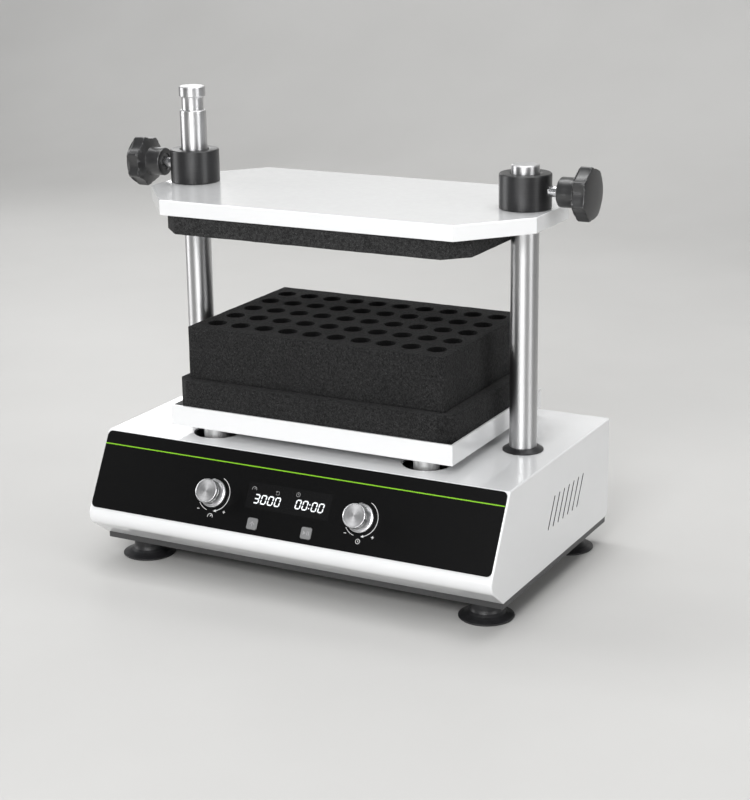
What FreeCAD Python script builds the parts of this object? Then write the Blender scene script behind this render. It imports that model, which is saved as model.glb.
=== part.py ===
import FreeCAD, Part
import math
import os
import Sketcher
from FreeCAD import Vector, Rotation, Placement

# Multi-tube vortex mixer, millimetres, +Z up, X to the right, front towards -Y.
# Origin: on the bench plane, midway between the two guide posts.

doc = FreeCAD.newDocument("multi_tube_vortex_mixer")
sheet = doc.addObject("Spreadsheet::Sheet", "Dims")

DIMS = [
    # housing
    ("half_width", 211.2), ("top_height", 127.1), ("sheet_wall", 2.0), ("incline", 28.5),
    ("rear_y", 125.5), ("edge_y", -113.2), ("nose_height", 49.1), ("lip_y", -125.0),
    ("nose_radius", 12.0), ("bend_radius", 1.2), ("rear_radius", 5.0), ("side_radius", 1.6),
    # base plate
    ("base_low", 21.0), ("base_thick", 6.0), ("base_front", -124.0), ("base_depth", 247.3), ("base_inset", 1.8),
    # feet
    ("foot_x", 181.4), ("foot_front", -97.0), ("foot_rear", 93.8), ("foot_rim", 25.4), ("foot_stem", 14.3),
    ("foot_neck", 9.0), ("foot_lip", 1.6),
    # posts
    ("post_x", 173.8), ("post_rad", 12.7), ("left_top", 444.6), ("right_top", 391.8), ("deck_top", 46.0),
    ("groove_low", 421.9), ("groove_high", 434.4), ("groove_rad", 10.45), ("post_hole", 13.2),
    ("flange_rad", 18.95), ("flange_high", 4.0),
    # drive
    ("axis_y", 4.85), ("orbit", 2.0), ("deck_thick", 6.0), ("deck_half", 190.0), ("deck_front", -62.0), ("deck_back", 68.0),
    ("motor_rad", 38.0), ("motor_high", 38.0), ("shaft_rad", 5.0), ("pin_rad", 6.0),
    ("carr_low", 98.0), ("carr_thick", 8.0), ("carr_half_x", 125.0), ("carr_half_y", 92.0),
    ("idler_x", 95.0), ("idler_y", 42.0), ("idler_rad", 4.0), ("run_gap", 0.05),
    # tray
    ("tray_half_x", 148.1), ("tray_half_y", 100.55), ("tray_low", 136.3), ("tray_high", 155.5), ("tray_wall", 2.0),
    ("leg_x", 111.7), ("leg_y", 78.35), ("leg_rad", 12.0), ("leg_hole", 23.0),
    # foam
    ("pad_half_x", 145.6), ("pad_half_y", 98.0), ("pad_top", 180.0), ("pad_cut", 13.5),
    ("rack_half_x", 134.3), ("rack_front", -84.2), ("rack_back", 95.7), ("rack_top", 230.8),
    ("hole_rad", 8.8), ("pitch_x", 25.71), ("pitch_y", 32.68), ("grid_y", 4.8),
    # press plate
    ("plate_half_x", 200.6), ("plate_half_y", 98.9), ("plate_front_half", 149.8), ("plate_end_half", 36.9),
    ("plate_low", 338.2), ("plate_high", 352.6), ("plate_hole", 13.3),
    ("press_half_x", 157.5), ("press_half_y", 96.8), ("press_cut", 21.0), ("press_low", 320.6),
    ("collar_rad", 23.7), ("collar_top", 384.2), ("collar_bore", 12.75),
    # clamp screws
    ("clamp_z", 369.3), ("stud_rad", 4.95), ("thread_rad", 5.0), ("star_hub", 207.6),
    ("hub_rad", 13.5), ("hub_len", 15.5), ("head_len", 32.2), ("star_rad", 24.5), ("scallop_rad", 24.0), ("scallop_at", 44.4),
    ("stud_seat", 19.0),
    # control panel (s = distance down the incline from the top bend)
    ("panel_half", 209.5), ("panel_start", 0.75), ("panel_end", 76.1), ("panel_thick", 1.0),
    ("window_half", 43.5), ("window_s", 39.8), ("window_high", 24.0),
    ("speed_x", -78.5), ("time_x", 76.2), ("knob_s", 44.6), ("key_one_x", -31.9), ("key_two_x", 24.9), ("key_s", 66.0),
    ("key_size", 10.9), ("key_gap", 0.3), ("board_face", -10.0), ("enc_rad", 3.0), ("knob_rad", 11.6), ("skirt_rad", 13.3), ("knob_top", 16.8),
    # rear connections
    ("inlet_x", 150.0), ("switch_x", 95.0), ("fuse_x", 52.0), ("port_z", 66.0),
]
for row, (alias, value) in enumerate(DIMS, 1):
    sheet.set("A%d" % row, alias)
    sheet.set("B%d" % row, repr(value))
    sheet.setAlias("B%d" % row, alias)
doc.recompute()


class Q:
    """A length that carries both its value and its spreadsheet expression."""

    def __init__(self, v, e):
        self.v = float(v)
        self.e = e

    def __add__(self, o):
        o = q(o)
        return Q(self.v + o.v, "(%s + %s)" % (self.e, o.e))

    def __radd__(self, o):
        return q(o) + self

    def __sub__(self, o):
        o = q(o)
        return Q(self.v - o.v, "(%s - %s)" % (self.e, o.e))

    def __rsub__(self, o):
        return q(o) - self

    def __mul__(self, o):
        o = q(o)
        return Q(self.v * o.v, "(%s * %s)" % (self.e, o.e))

    def __rmul__(self, o):
        return q(o) * self

    def __truediv__(self, o):
        o = q(o)
        return Q(self.v / o.v, "(%s / %s)" % (self.e, o.e))

    def __neg__(self):
        return Q(-self.v, "(0 - %s)" % self.e)


def q(o):
    return o if isinstance(o, Q) else Q(o, "(%r)" % float(o))


def qsin(a):
    return Q(math.sin(math.radians(a.v)), "sin(%s)" % a.e)


def qcos(a):
    return Q(math.cos(math.radians(a.v)), "cos(%s)" % a.e)


def qtan(a):
    return Q(math.tan(math.radians(a.v)), "tan(%s)" % a.e)


def qsqrt(a):
    a = q(a)
    return Q(math.sqrt(a.v), "sqrt(%s)" % a.e)


class Table:
    pass


D = Table()
for alias, value in DIMS:
    setattr(D, alias, Q(value, "Dims.%s" % alias))

count = [0]


def uid(stem):
    count[0] += 1
    return "%s_%03d" % (stem, count[0])


def bind(obj, prop, val):
    val = q(val)
    if "Dims." in val.e:
        obj.setExpression(prop, val.e)
    else:
        setattr(obj, prop, val.v)


AXES = {"Z": Rotation(), "-Z": Rotation(Vector(1, 0, 0), 180), "X": Rotation(Vector(0, 1, 0), 90),
        "-X": Rotation(Vector(0, 1, 0), -90), "Y": Rotation(Vector(1, 0, 0), -90), "-Y": Rotation(Vector(1, 0, 0), 90)}


def place(obj, x=0, y=0, z=0, rot=None):
    x, y, z = q(x), q(y), q(z)
    obj.Placement = Placement(Vector(x.v, y.v, z.v), rot or Rotation())
    for c, val in (("x", x), ("y", y), ("z", z)):
        if "Dims." in val.e:
            obj.setExpression("Placement.Base.%s" % c, val.e)
    return obj


def box(lx, ly, lz, x, y, z, rot=None):
    o = doc.addObject("Part::Box", uid("Box"))
    bind(o, "Length", lx)
    bind(o, "Width", ly)
    bind(o, "Height", lz)
    return place(o, x, y, z, rot)


def cbox(lx, ly, lz, cx, cy, z):
    """Box centred on cx, cy that stands on z."""
    return box(lx, ly, lz, q(cx) - q(lx) / 2, q(cy) - q(ly) / 2, z)


def cyl(r, length, x, y, z, axis="Z"):
    o = doc.addObject("Part::Cylinder", uid("Cyl"))
    bind(o, "Radius", r)
    bind(o, "Height", length)
    return place(o, x, y, z, AXES[axis])


def cone(r1, r2, length, x, y, z, axis="Z"):
    o = doc.addObject("Part::Cone", uid("Cone"))
    bind(o, "Radius1", r1)
    bind(o, "Radius2", r2)
    bind(o, "Height", length)
    return place(o, x, y, z, AXES[axis])


def fuse(parts):
    if len(parts) == 1:
        return parts[0]
    o = doc.addObject("Part::MultiFuse", uid("Fuse"))
    o.Shapes = parts
    return o


def common(a, b):
    o = doc.addObject("Part::Common", uid("Common"))
    o.Base, o.Tool = a, b
    return o


def cut(base, tools):
    o = doc.addObject("Part::Cut", uid("Cut"))
    o.Base = base
    o.Tool = fuse(tools) if isinstance(tools, list) else tools
    return o


def group(parts):
    o = doc.addObject("Part::Compound", uid("Group"))
    o.Links = parts
    return o


def picked(shape, test):
    return [i + 1 for i, e in enumerate(shape.Edges) if test(e)]


def fillet(base, test, r):
    doc.recompute()
    o = doc.addObject("Part::Fillet", uid("Fillet"))
    o.Base = base
    ids = picked(base.Shape, test)
    if not ids:
        raise RuntimeError("no edge to fillet on " + base.Name)
    o.Edges = [(i, r, r) for i in ids]
    return o


def chamfer(base, test, r):
    doc.recompute()
    o = doc.addObject("Part::Chamfer", uid("Chamfer"))
    o.Base = base
    ids = picked(base.Shape, test)
    if not ids:
        raise RuntimeError("no edge to chamfer on " + base.Name)
    o.Edges = [(i, r, r) for i in ids]
    return o


def new_body(name):
    return doc.addObject("PartDesign::Body", name)


def origin_item(body, role):
    for item in body.Origin.OriginFeatures:
        if item.Role == role:
            return item
    raise RuntimeError(role)


def sketch(body, name, role="XY_Plane", offset=None):
    s = body.newObject("Sketcher::SketchObject", name)
    s.AttachmentSupport = [(origin_item(body, role), "")]
    s.MapMode = "FlatFace"
    if offset is not None:
        offset = q(offset)
        s.AttachmentOffset = Placement(Vector(0, 0, offset.v), Rotation())
        if "Dims." in offset.e:
            s.setExpression("AttachmentOffset.Base.z", offset.e)
    return s


def poly(sk, pts):
    """Closed polygon whose corners are dimensioned from the sketch origin."""
    base = sk.GeometryCount
    pts = [(q(a), q(b)) for a, b in pts]
    n = len(pts)
    for i in range(n):
        a, b = pts[i], pts[(i + 1) % n]
        sk.addGeometry(Part.LineSegment(Vector(a[0].v, a[1].v, 0), Vector(b[0].v, b[1].v, 0)), False)
    for i in range(n):
        sk.addConstraint(Sketcher.Constraint("Coincident", base + i, 2, base + (i + 1) % n, 1))
    for i, (a, b) in enumerate(pts):
        for kind, val, tag in (("DistanceX", a, "u"), ("DistanceY", b, "v")):
            c = sk.addConstraint(Sketcher.Constraint(kind, -1, 1, base + i, 1, val.v))
            if "Dims." in val.e:
                name = "%s%d" % (tag, base + i)
                sk.renameConstraint(c, name)
                sk.setExpression("Constraints." + name, val.e)


def circle(sk, cx, cy, r):
    cx, cy, r = q(cx), q(cy), q(r)
    g = sk.GeometryCount
    sk.addGeometry(Part.Circle(Vector(cx.v, cy.v, 0), Vector(0, 0, 1), r.v), False)
    for kind, args, val, tag in (("Radius", (g,), r, "r"), ("DistanceX", (-1, 1, g, 3), cx, "cx"),
                                 ("DistanceY", (-1, 1, g, 3), cy, "cy")):
        if kind != "Radius" and abs(val.v) < 1e-9:
            c = sk.addConstraint(Sketcher.Constraint("PointOnObject", g, 3, -2 if kind == "DistanceX" else -1))
            continue
        c = sk.addConstraint(Sketcher.Constraint(kind, *args, val.v))
        if "Dims." in val.e:
            name = "%s%d" % (tag, g)
            sk.renameConstraint(c, name)
            sk.setExpression("Constraints." + name, val.e)


def pad(body, sk, length, midplane=False):
    p = body.newObject("PartDesign::Pad", uid("Pad"))
    p.Profile = sk
    p.Midplane = midplane
    bind(p, "Length", length)
    body.Tip = p
    return p


def revolve(body, sk, role="Z_Axis"):
    p = body.newObject("PartDesign::Revolution", uid("Revolution"))
    p.Profile = sk
    p.ReferenceAxis = (origin_item(body, role), [""])
    p.Angle = 360
    body.Tip = p
    return p


def pocket(body, sk, length, reverse=False):
    """Pocket that must remove material."""
    doc.recompute()
    before = body.Shape.Volume
    p = body.newObject("PartDesign::Pocket", uid("Pocket"))
    p.Profile = sk
    bind(p, "Length", length)
    p.Reversed = reverse
    body.Tip = p
    doc.recompute()
    if not body.Shape.Volume < before - 1e-3:
        raise RuntimeError("pocket cuts nothing in " + body.Name)
    return p


def solid_of_revolution(name, pts):
    """Profile of (radius, height) corners turned about the Z axis."""
    b = new_body(name)
    sk = sketch(b, name + "_profile", "XZ_Plane")
    poly(sk, pts)
    revolve(b, sk)
    return b


nodes = []


def node(obj, label):
    obj.Label = label
    nodes.append(obj)
    return obj


def round_edge(e, r, z=None, tol=0.05):
    c = e.Curve
    return isinstance(c, Part.Circle) and abs(c.Radius - r) < tol and (z is None or abs(c.Center.z - z) < tol)


# ---------------------------------------------------------------- base plate and feet
plate = cbox(2 * (D.half_width - D.base_inset), D.base_depth, D.base_thick, 0, D.base_front + D.base_depth / 2, D.base_low)
plate = fillet(plate, lambda e: e.BoundBox.ZLength > 5, 1.2)
holes = []
for sx in (-1, 1):
    for fy in (D.foot_front, D.foot_rear):
        holes.append(cyl(3.3, 10, sx * D.foot_x, fy, D.base_low - 2))
    for hy in (-112.0, 0.0, 112.0):
        holes.append(cyl(2.2, 10, sx * 202.0, hy, D.base_low - 2))
for k in range(7):
    for x0 in (-90.0, 30.0):
        holes.append(cbox(60, 3, 10, x0 + 30.0, -30.0 + 10.0 * k, D.base_low - 2))
node(cut(plate, holes), "base_plate")

foot_profile = [(0, 3.2), (9, 3.2), (21.5, 0), (D.foot_rim - 0.6, 0), (D.foot_rim, 0.6), (D.foot_rim, D.foot_lip),
                (D.foot_rim - 1.0, D.foot_lip + 0.5), (D.foot_rim - 5.0, 3.3), (D.foot_rim - 8.0, 4.9),
                (D.foot_stem + 0.9, 7.0), (D.foot_stem + 0.2, D.foot_neck), (D.foot_stem, D.foot_neck + 0.8),
                (D.foot_stem, D.base_low), (3.3, D.base_low), (3.3, 10.0), (0, 10.0)]
for label, sx, fy in (("foot_front_left", -1, D.foot_front), ("foot_front_right", 1, D.foot_front),
                      ("foot_rear_left", -1, D.foot_rear), ("foot_rear_right", 1, D.foot_rear)):
    b = solid_of_revolution(label, foot_profile)
    node(place(b, sx * D.foot_x, fy, 0), label)

screws = []
for sx in (-1, 1):
    for fy in (D.foot_front, D.foot_rear):
        screws.append(fuse([cyl(3.2, 20.2, sx * D.foot_x, fy, 10.2), cyl(6.0, 3.5, sx * D.foot_x, fy, D.base_low + D.base_thick)]))
node(group(screws), "foot_screws")

# ---------------------------------------------------------------- upper housing, one bent and painted shell
shell = new_body("shell")
outline = sketch(shell, "shell_outline", "YZ_Plane")
nose_y = D.edge_y - (D.top_height - D.nose_height) * qtan(D.incline)
base_high = D.base_low + D.base_thick
poly(outline, [(D.rear_y, base_high), (D.rear_y, D.top_height), (D.edge_y, D.top_height), (nose_y, D.nose_height),
               (D.lip_y, base_high)])
solid = pad(shell, outline, 2 * D.half_width, True)
doc.recompute()


def along_x(y, z, tol=0.4):
    return lambda e: e.BoundBox.XLength > 300 and abs(e.BoundBox.Center.y - y) < tol and abs(e.BoundBox.Center.z - z) < tol


def body_fillet(body, base, tests, radius):
    doc.recompute()
    f = body.newObject("PartDesign::Fillet", uid("BodyFillet"))
    names = []
    for t in tests:
        names += ["Edge%d" % i for i in picked(base.Shape, t)]
    if not names:
        raise RuntimeError("no edge for the fillet in " + body.Name)
    f.Base = (base, names)
    bind(f, "Radius", radius)
    body.Tip = f
    doc.recompute()
    return f


step = body_fillet(shell, solid, [along_x(nose_y.v, D.nose_height.v)], D.nose_radius)
step = body_fillet(shell, step, [along_x(D.edge_y.v, D.top_height.v), along_x(D.rear_y.v, D.top_height.v)], D.bend_radius)
step = body_fillet(shell, step, [along_x(D.rear_y.v, base_high.v)], D.rear_radius)


def side_edge(e):
    b = e.BoundBox
    if b.XLength > 0.01 or abs(abs(b.Center.x) - D.half_width.v) > 0.01:
        return False
    return b.ZMax > base_high.v + 0.6


step = body_fillet(shell, step, [side_edge], D.side_radius)

# inner space: the outline moved in by the sheet thickness, open below, with a narrow flange turned in at the rear
wall = D.sheet_wall
slope_up = qtan(D.incline)
start_up = D.edge_y - D.top_height * slope_up + wall / qcos(D.incline)
slope_low = (nose_y - D.lip_y) / (D.nose_height - base_high)
start_low = D.lip_y - slope_low * base_high + wall * qsqrt(1 + slope_low * slope_low)
in_z = (start_low - start_up) / (slope_up - slope_low)
in_y = start_up + slope_up * in_z
space = new_body("inner_space")
inner = sketch(space, "inner_outline", "YZ_Plane")
poly(inner, [(D.rear_y - wall, D.top_height - wall), (start_up + slope_up * (D.top_height - wall), D.top_height - wall), (in_y, in_z),
             (start_low + slope_low * (base_high - 1), base_high - 1), (D.rear_y - 8, base_high - 1), (D.rear_y - 8, base_high + wall),
             (D.rear_y - D.rear_radius, base_high + wall), (D.rear_y - wall, base_high + D.rear_radius)])
hollow = pad(space, inner, 2 * (D.half_width - wall), True)
doc.recompute()


def inner_nose(e):
    b = e.BoundBox
    return b.XLength > 300 and abs(b.Center.y - in_y.v) < 0.05 and abs(b.Center.z - in_z.v) < 0.05


body_fillet(space, hollow, [inner_nose], D.nose_radius - wall)
doc.recompute()
hollow_shell = cut(shell, [space])


# local frame of the inclined front: x along X, y up the incline, z out of it; s is measured down from the top bend
FRONT = Rotation(Vector(1, 0, 0), 90.0 - D.incline.v)


def on_front(obj):
    """Lay an object, modelled flat on XY, onto the inclined front."""
    if obj.TypeId in ("Part::Box", "Part::Cylinder", "Part::Cone"):
        obj = group([obj])
    obj.Placement = Placement(Vector(0, D.edge_y.v, D.top_height.v), FRONT)
    obj.setExpression("Placement.Base.y", D.edge_y.e)
    obj.setExpression("Placement.Base.z", D.top_height.e)
    obj.setExpression("Placement.Rotation.Angle", "90 - Dims.incline")
    return obj


openings = []
for sx in (-1, 1):
    openings.append(cyl(D.post_hole, 10, sx * D.post_x, 0, D.top_height - 6))
    for sy in (-1, 1):
        openings.append(cyl(D.leg_hole, 10, sx * D.leg_x, D.axis_y + sy * D.leg_y, D.top_height - 6))
front_cuts = [cbox(84, 21, 10, 0, -D.window_s, -6.0), cyl(4.2, 10, D.speed_x, -D.knob_s, -6.0), cyl(4.2, 10, D.time_x, -D.knob_s, -6.0),
              cbox(D.key_size + 2 * D.key_gap, D.key_size + 2 * D.key_gap, 10, D.key_one_x, -D.key_s, -6.0),
              cbox(D.key_size + 2 * D.key_gap, D.key_size + 2 * D.key_gap, 10, D.key_two_x, -D.key_s, -6.0)]
openings.append(on_front(fuse(front_cuts)))
slot_lean = Rotation(Vector(1, 0, 0), -D.incline.v)
for k in range(7):
    yb = -26.8 + 11.58 * k
    zb, length, r = 63.5, 30.8, 1.15
    lean_sin, lean_cos = math.sin(math.radians(D.incline.v)), math.cos(math.radians(D.incline.v))
    bar = box(2 * D.half_width + 20, 2 * r, length, -(D.half_width + 10), yb - r * lean_cos, zb + r * lean_sin, slot_lean)
    openings += [bar, cyl(r, 2 * D.half_width + 20, -(D.half_width + 10), yb, zb, "X"),
                 cyl(r, 2 * D.half_width + 20, -(D.half_width + 10), yb + length * lean_sin, zb + length * lean_cos, "X")]
openings.append(cbox(27.6, 10, 20.0, D.inlet_x, D.rear_y, D.port_z - 10.0))
openings.append(cbox(19.4, 10, 27.4, D.switch_x, D.rear_y, D.port_z - 13.7))
openings.append(cyl(6.2, 10, D.fuse_x, D.rear_y - 5, D.port_z, "Y"))
# threaded tabs stand on the base plate inside the side walls and are one piece with the shell
tabs = []
for sx in (-1, 1):
    for hy in (-112.0, 0.0, 112.0):
        tabs.append(cut(cbox(13.6, 16, 12, sx * 203.2, hy, base_high), [cyl(2.1, 14, sx * 202.0, hy, base_high - 1)]))
node(fuse([cut(hollow_shell, openings)] + tabs), "upper_housing")

# six small pan-head screws hold the shell to the base plate from below
heads = []
for sx in (-1, 1):
    for hy in (-112.0, 0.0, 112.0):
        heads.append(fuse([cyl(4.0, 2.2, sx * 202.0, hy, D.base_low - 2.2), cyl(2.0, 12.0, sx * 202.0, hy, D.base_low)]))
node(group(heads), "housing_screws")

# ---------------------------------------------------------------- front controls, modelled flat and laid on the incline
panel_high = D.panel_end - D.panel_start
sheet_blank = box(2 * D.panel_half, panel_high, D.panel_thick, -D.panel_half, -D.panel_end, 0)
sheet_blank = fillet(sheet_blank, lambda e: e.BoundBox.ZLength > 0.9 and e.BoundBox.XLength < 0.1 and e.BoundBox.YLength < 0.1, 5.0)
tools = [cbox(2 * D.window_half, D.window_high, 5, 0, -D.window_s, -2), cyl(4.2, 5, D.speed_x, -D.knob_s, -2), cyl(4.2, 5, D.time_x, -D.knob_s, -2)]
for kx in (D.key_one_x, D.key_two_x):
    tools.append(fillet(cbox(D.key_size + 2 * D.key_gap, D.key_size + 2 * D.key_gap, 5, kx, -D.key_s, -2), lambda e: e.BoundBox.ZLength > 4.9, 2.2))
node(on_front(cut(sheet_blank, tools)), "control_panel")

lens = cbox(2 * D.window_half, D.window_high, D.panel_thick, 0, -D.window_s, 0)
node(on_front(lens), "display_window")
module = fuse([cbox(82, 19.4, 5.6, 0, -D.window_s, -7.6), cbox(90, 28, 2.4, 0, -D.window_s, D.board_face)])
node(on_front(module), "display_module")
board = cut(cbox(220, 62, 1.6, 0, -41.0, D.board_face - 1.6),
            [cyl(1.6, 4, sx * 105.0, y, D.board_face - 3) for sx in (-1, 1) for y in (-14.0, -68.0)])
node(on_front(board), "control_board")
stand = [cyl(3.0, -D.board_face - D.sheet_wall, sx * 105.0, y, D.board_face) for sx in (-1, 1) for y in (-14.0, -68.0)]
node(on_front(group(stand)), "board_spacers")

for label, shaft, knob, kx in (("speed_encoder", "speed_shaft", "speed_knob", D.speed_x), ("time_encoder", "time_shaft", "time_knob", D.time_x)):
    case = fuse([cbox(13, 13, 6.6, kx, -D.knob_s, D.board_face), cyl(3.9, 6.6, kx, -D.knob_s, -3.4 + 0.0)])
    case = cut(case, [cyl(D.enc_rad + D.run_gap, 20, kx, -D.knob_s, D.board_face + 1.0)])
    node(on_front(case), label)
    node(on_front(cyl(D.enc_rad, 23.0, kx, -D.knob_s, D.board_face + 1.2)), shaft)
    turned = solid_of_revolution(knob, [
        (4.4, D.panel_thick + 0.5), (D.skirt_rad - 0.4, D.panel_thick + 0.5), (D.skirt_rad, D.panel_thick + 0.9),
        (D.skirt_rad, 4.0), (D.skirt_rad - 0.5, 4.5), (D.knob_rad - 0.4, 4.5), (D.knob_rad - 0.4, 5.3), (D.knob_rad, 5.6),
        (D.knob_rad, D.knob_top - 0.8), (D.knob_rad - 0.8, D.knob_top), (D.knob_rad - 1.8, D.knob_top),
        (D.knob_rad - 2.1, D.knob_top - 0.35), (0, D.knob_top - 0.35), (0, D.board_face + 24.2), (D.enc_rad, D.board_face + 24.2),
        (D.enc_rad, 4.4), (4.4, 4.4)])
    doc.recompute()
    turned.Placement = Placement(Vector(kx.v, D.edge_y.v, D.top_height.v), FRONT)
    turned.setExpression("Placement.Base.x", kx.e)
    turned.setExpression("Placement.Base.y", (D.edge_y - D.knob_s * qsin(D.incline)).e)
    turned.setExpression("Placement.Base.z", (D.top_height - D.knob_s * qcos(D.incline)).e)
    node(turned, knob)

switches = []
for label, kx in (("set_button", D.key_one_x), ("start_button", D.key_two_x)):
    # key cap with a retaining flange behind the wall; it travels 1.1 mm down to the tact switch
    cap = fillet(cbox(D.key_size, D.key_size, 3.9, kx, -D.key_s, -2.5), lambda e: e.BoundBox.ZLength > 3.8 and e.BoundBox.XLength < 0.1 and e.BoundBox.YLength < 0.1, 2.0)
    cap = chamfer(cap, lambda e: e.BoundBox.ZMin > 1.39, 0.35)
    node(on_front(fuse([cap, cbox(15.2, 15.2, 0.8, kx, -D.key_s, -3.2), cyl(2.4, 1.6, kx, -D.key_s, -4.6)])), label)
    switches.append(fuse([cbox(6, 6, 3.4, kx, -D.key_s, D.board_face), cyl(1.75, 0.8, kx, -D.key_s, D.board_face + 3.4)]))
node(on_front(group(switches)), "button_switches")

# ---------------------------------------------------------------- drive deck, posts
deck_mid = (D.deck_front + D.deck_back) / 2
deck = cbox(2 * D.deck_half, D.deck_back - D.deck_front, D.deck_thick, 0, deck_mid, D.deck_top - D.deck_thick)
deck_holes = [cyl(D.shaft_rad + 9, 20, 0, D.axis_y, D.deck_top - 10)] + [cyl(4.2, 20, sx * D.post_x, 0, D.deck_top - 10) for sx in (-1, 1)]
spacers = []
spots = [(-178.0, -45.0), (178.0, -45.0), (-178.0, 52.0), (178.0, 52.0), (0.0, -50.0), (0.0, 58.0)]
for x, y in spots:
    spacers.append(cyl(8.0, D.deck_top - D.deck_thick - base_high, x, y, base_high))
node(cut(deck, deck_holes), "drive_deck")
node(group(spacers), "deck_spacers")


def post_profile(top, grooved):
    low = D.deck_top
    pts = [(4.2, low), (D.post_rad, low)]
    if grooved:
        pts += [(D.post_rad, D.groove_low - 0.8), (D.post_rad - 0.8, D.groove_low), (D.groove_rad, D.groove_low),
                (D.groove_rad, D.groove_high), (D.post_rad - 0.8, D.groove_high), (D.post_rad, D.groove_high + 0.8)]
    pts += [(D.post_rad, top - 1.0), (D.post_rad - 1.0, top), (0, top), (0, low + 22), (4.2, low + 22)]
    return pts


node(place(solid_of_revolution("left_post", post_profile(D.left_top, True)), -D.post_x, 0, 0), "left_post")
node(place(solid_of_revolution("right_post", post_profile(D.right_top, False)), D.post_x, 0, 0), "right_post")
bolts = []
for sx in (-1, 1):
    # bolt head lies in the deck, its shank runs up into the post
    bolts.append(fuse([cyl(4.15, 20 + D.deck_thick, sx * D.post_x, 0, D.deck_top - D.deck_thick), cyl(7.0, 4.0, sx * D.post_x, 0, D.deck_top - D.deck_thick - 4.0)]))
node(group(bolts), "post_bolts")

rings = []
for sx in (-1, 1):
    b = solid_of_revolution("post_ring_%s" % ("l" if sx < 0 else "r"),
                            [(D.post_rad, D.top_height), (D.flange_rad, D.top_height), (D.flange_rad, D.top_height + 1.2),
                             (D.flange_rad - 1.0, D.top_height + 1.7), (D.post_rad + 2.6, D.top_height + D.flange_high - 0.5),
                             (D.post_rad + 1.6, D.top_height + D.flange_high), (D.post_rad, D.top_height + D.flange_high)])
    rings.append(place(b, sx * D.post_x, 0, 0))
node(group(rings), "post_flanges")

# ---------------------------------------------------------------- motor and eccentric drive
# The motor stands on the deck; its shaft carries the eccentric crank, whose pin turns in the carriage bearing.
motor = fuse([cyl(D.motor_rad, D.motor_high - 4, 0, D.axis_y, D.deck_top), cyl(D.motor_rad - 8, 4, 0, D.axis_y, D.deck_top + D.motor_high - 4)])
motor = cut(motor, [cyl(D.shaft_rad + D.run_gap, 60, 0, D.axis_y, D.deck_top + 4)])
node(motor, "motor")
motor_top = D.deck_top + D.motor_high
node(cyl(D.shaft_rad, motor_top + 7.6 - (D.deck_top + 6), 0, D.axis_y, D.deck_top + 6), "motor_shaft")
pin_y = D.axis_y - D.orbit
crank = fuse([cyl(15.0, 8.0, 0, D.axis_y, motor_top + 1.0), cyl(9.0, 3.0, 0, pin_y, motor_top + 9.0), cyl(D.pin_rad, D.carr_low + D.carr_thick - motor_top - 10.0 + 0.5, 0, pin_y, motor_top + 10.0)])
crank = cut(crank, [cyl(D.shaft_rad, 7.6, 0, D.axis_y, motor_top)])
node(crank, "eccentric_crank")
# counterweight opposite the pin (towards +Y at rest), a half disc around the crank
weight = cut(cyl(36.0, 7.0, 0, D.axis_y, motor_top + 1.5), [cyl(15.05, 20, 0, D.axis_y, motor_top - 2), cbox(90, 60, 20, 0, D.axis_y - 30.0, motor_top - 2)])
node(weight, "counterweight")
ring = cut(cyl(14.0, D.carr_thick, 0, pin_y, D.carr_low), [cyl(D.pin_rad + D.run_gap, 20, 0, pin_y, D.carr_low - 5)])
node(ring, "eccentric_bearing")

mid_y = D.axis_y - D.orbit
carriage = cbox(2 * D.carr_half_x, 2 * D.carr_half_y, D.carr_thick, 0, mid_y, D.carr_low)
carriage = fillet(carriage, lambda e: e.BoundBox.ZLength > 7.9, 8.0)
ctools = [cyl(14.0, 20, 0, mid_y, D.carr_low - 5)]
for sx in (-1, 1):
    for sy in (-1, 1):
        ctools.append(cyl(7.0, 20, sx * D.idler_x, mid_y + sy * D.idler_y, D.carr_low - 5))
node(cut(carriage, ctools), "carriage_plate")
bushes = []
bearings = []
for sx, tag in ((-1, "left"), (1, "right")):
    for sy, end in ((-1, "front"), (1, "rear")):
        x, y = sx * D.idler_x, D.axis_y + sy * D.idler_y
        bushes.append(cut(cyl(7.0, D.carr_thick, x, mid_y + sy * D.idler_y, D.carr_low), [cyl(D.idler_rad + 0.1, 20, x, mid_y + sy * D.idler_y, D.carr_low - 5)]))
        stand = fuse([cyl(14.0, 3.0, x, y, D.deck_top), cyl(11.0, 36.0, x, y, D.deck_top)])
        bearings.append(cut(stand, [cyl(D.idler_rad + D.run_gap, 40, x, y, D.deck_top + 4)]))
        arm = fuse([cyl(D.idler_rad, 31.0, x, y, D.deck_top + 5.5), cyl(10.0, 6.0, x, y, D.deck_top + 36.4),
                    cyl(D.idler_rad, D.carr_low + D.carr_thick - D.deck_top - 42.0, x, y - D.orbit, D.deck_top + 42.0)])
        node(arm, "idler_crank_%s_%s" % (end, tag))
node(group(bushes), "carriage_bushes")
node(group(bearings), "idler_bearings")

# ---------------------------------------------------------------- tray on its four legs
leg_parts = []
tray_bolts = []
for sx in (-1, 1):
    for sy in (-1, 1):
        x, y = sx * D.leg_x, mid_y + sy * D.leg_y
        leg_parts.append(cut(cyl(D.leg_rad, D.tray_low - (D.carr_low + D.carr_thick), x, y, D.carr_low + D.carr_thick),
                             [cyl(3.0, 40, x, y, D.tray_low - 14.0)]))
        tray_bolts.append(fuse([cyl(3.0, 15.8, x, y, D.tray_low - 13.8), cyl(6.5, 3.0, x, y, D.tray_low + D.tray_wall)]))
node(group(leg_parts), "tray_legs")
node(group(tray_bolts), "tray_screws")

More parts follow.
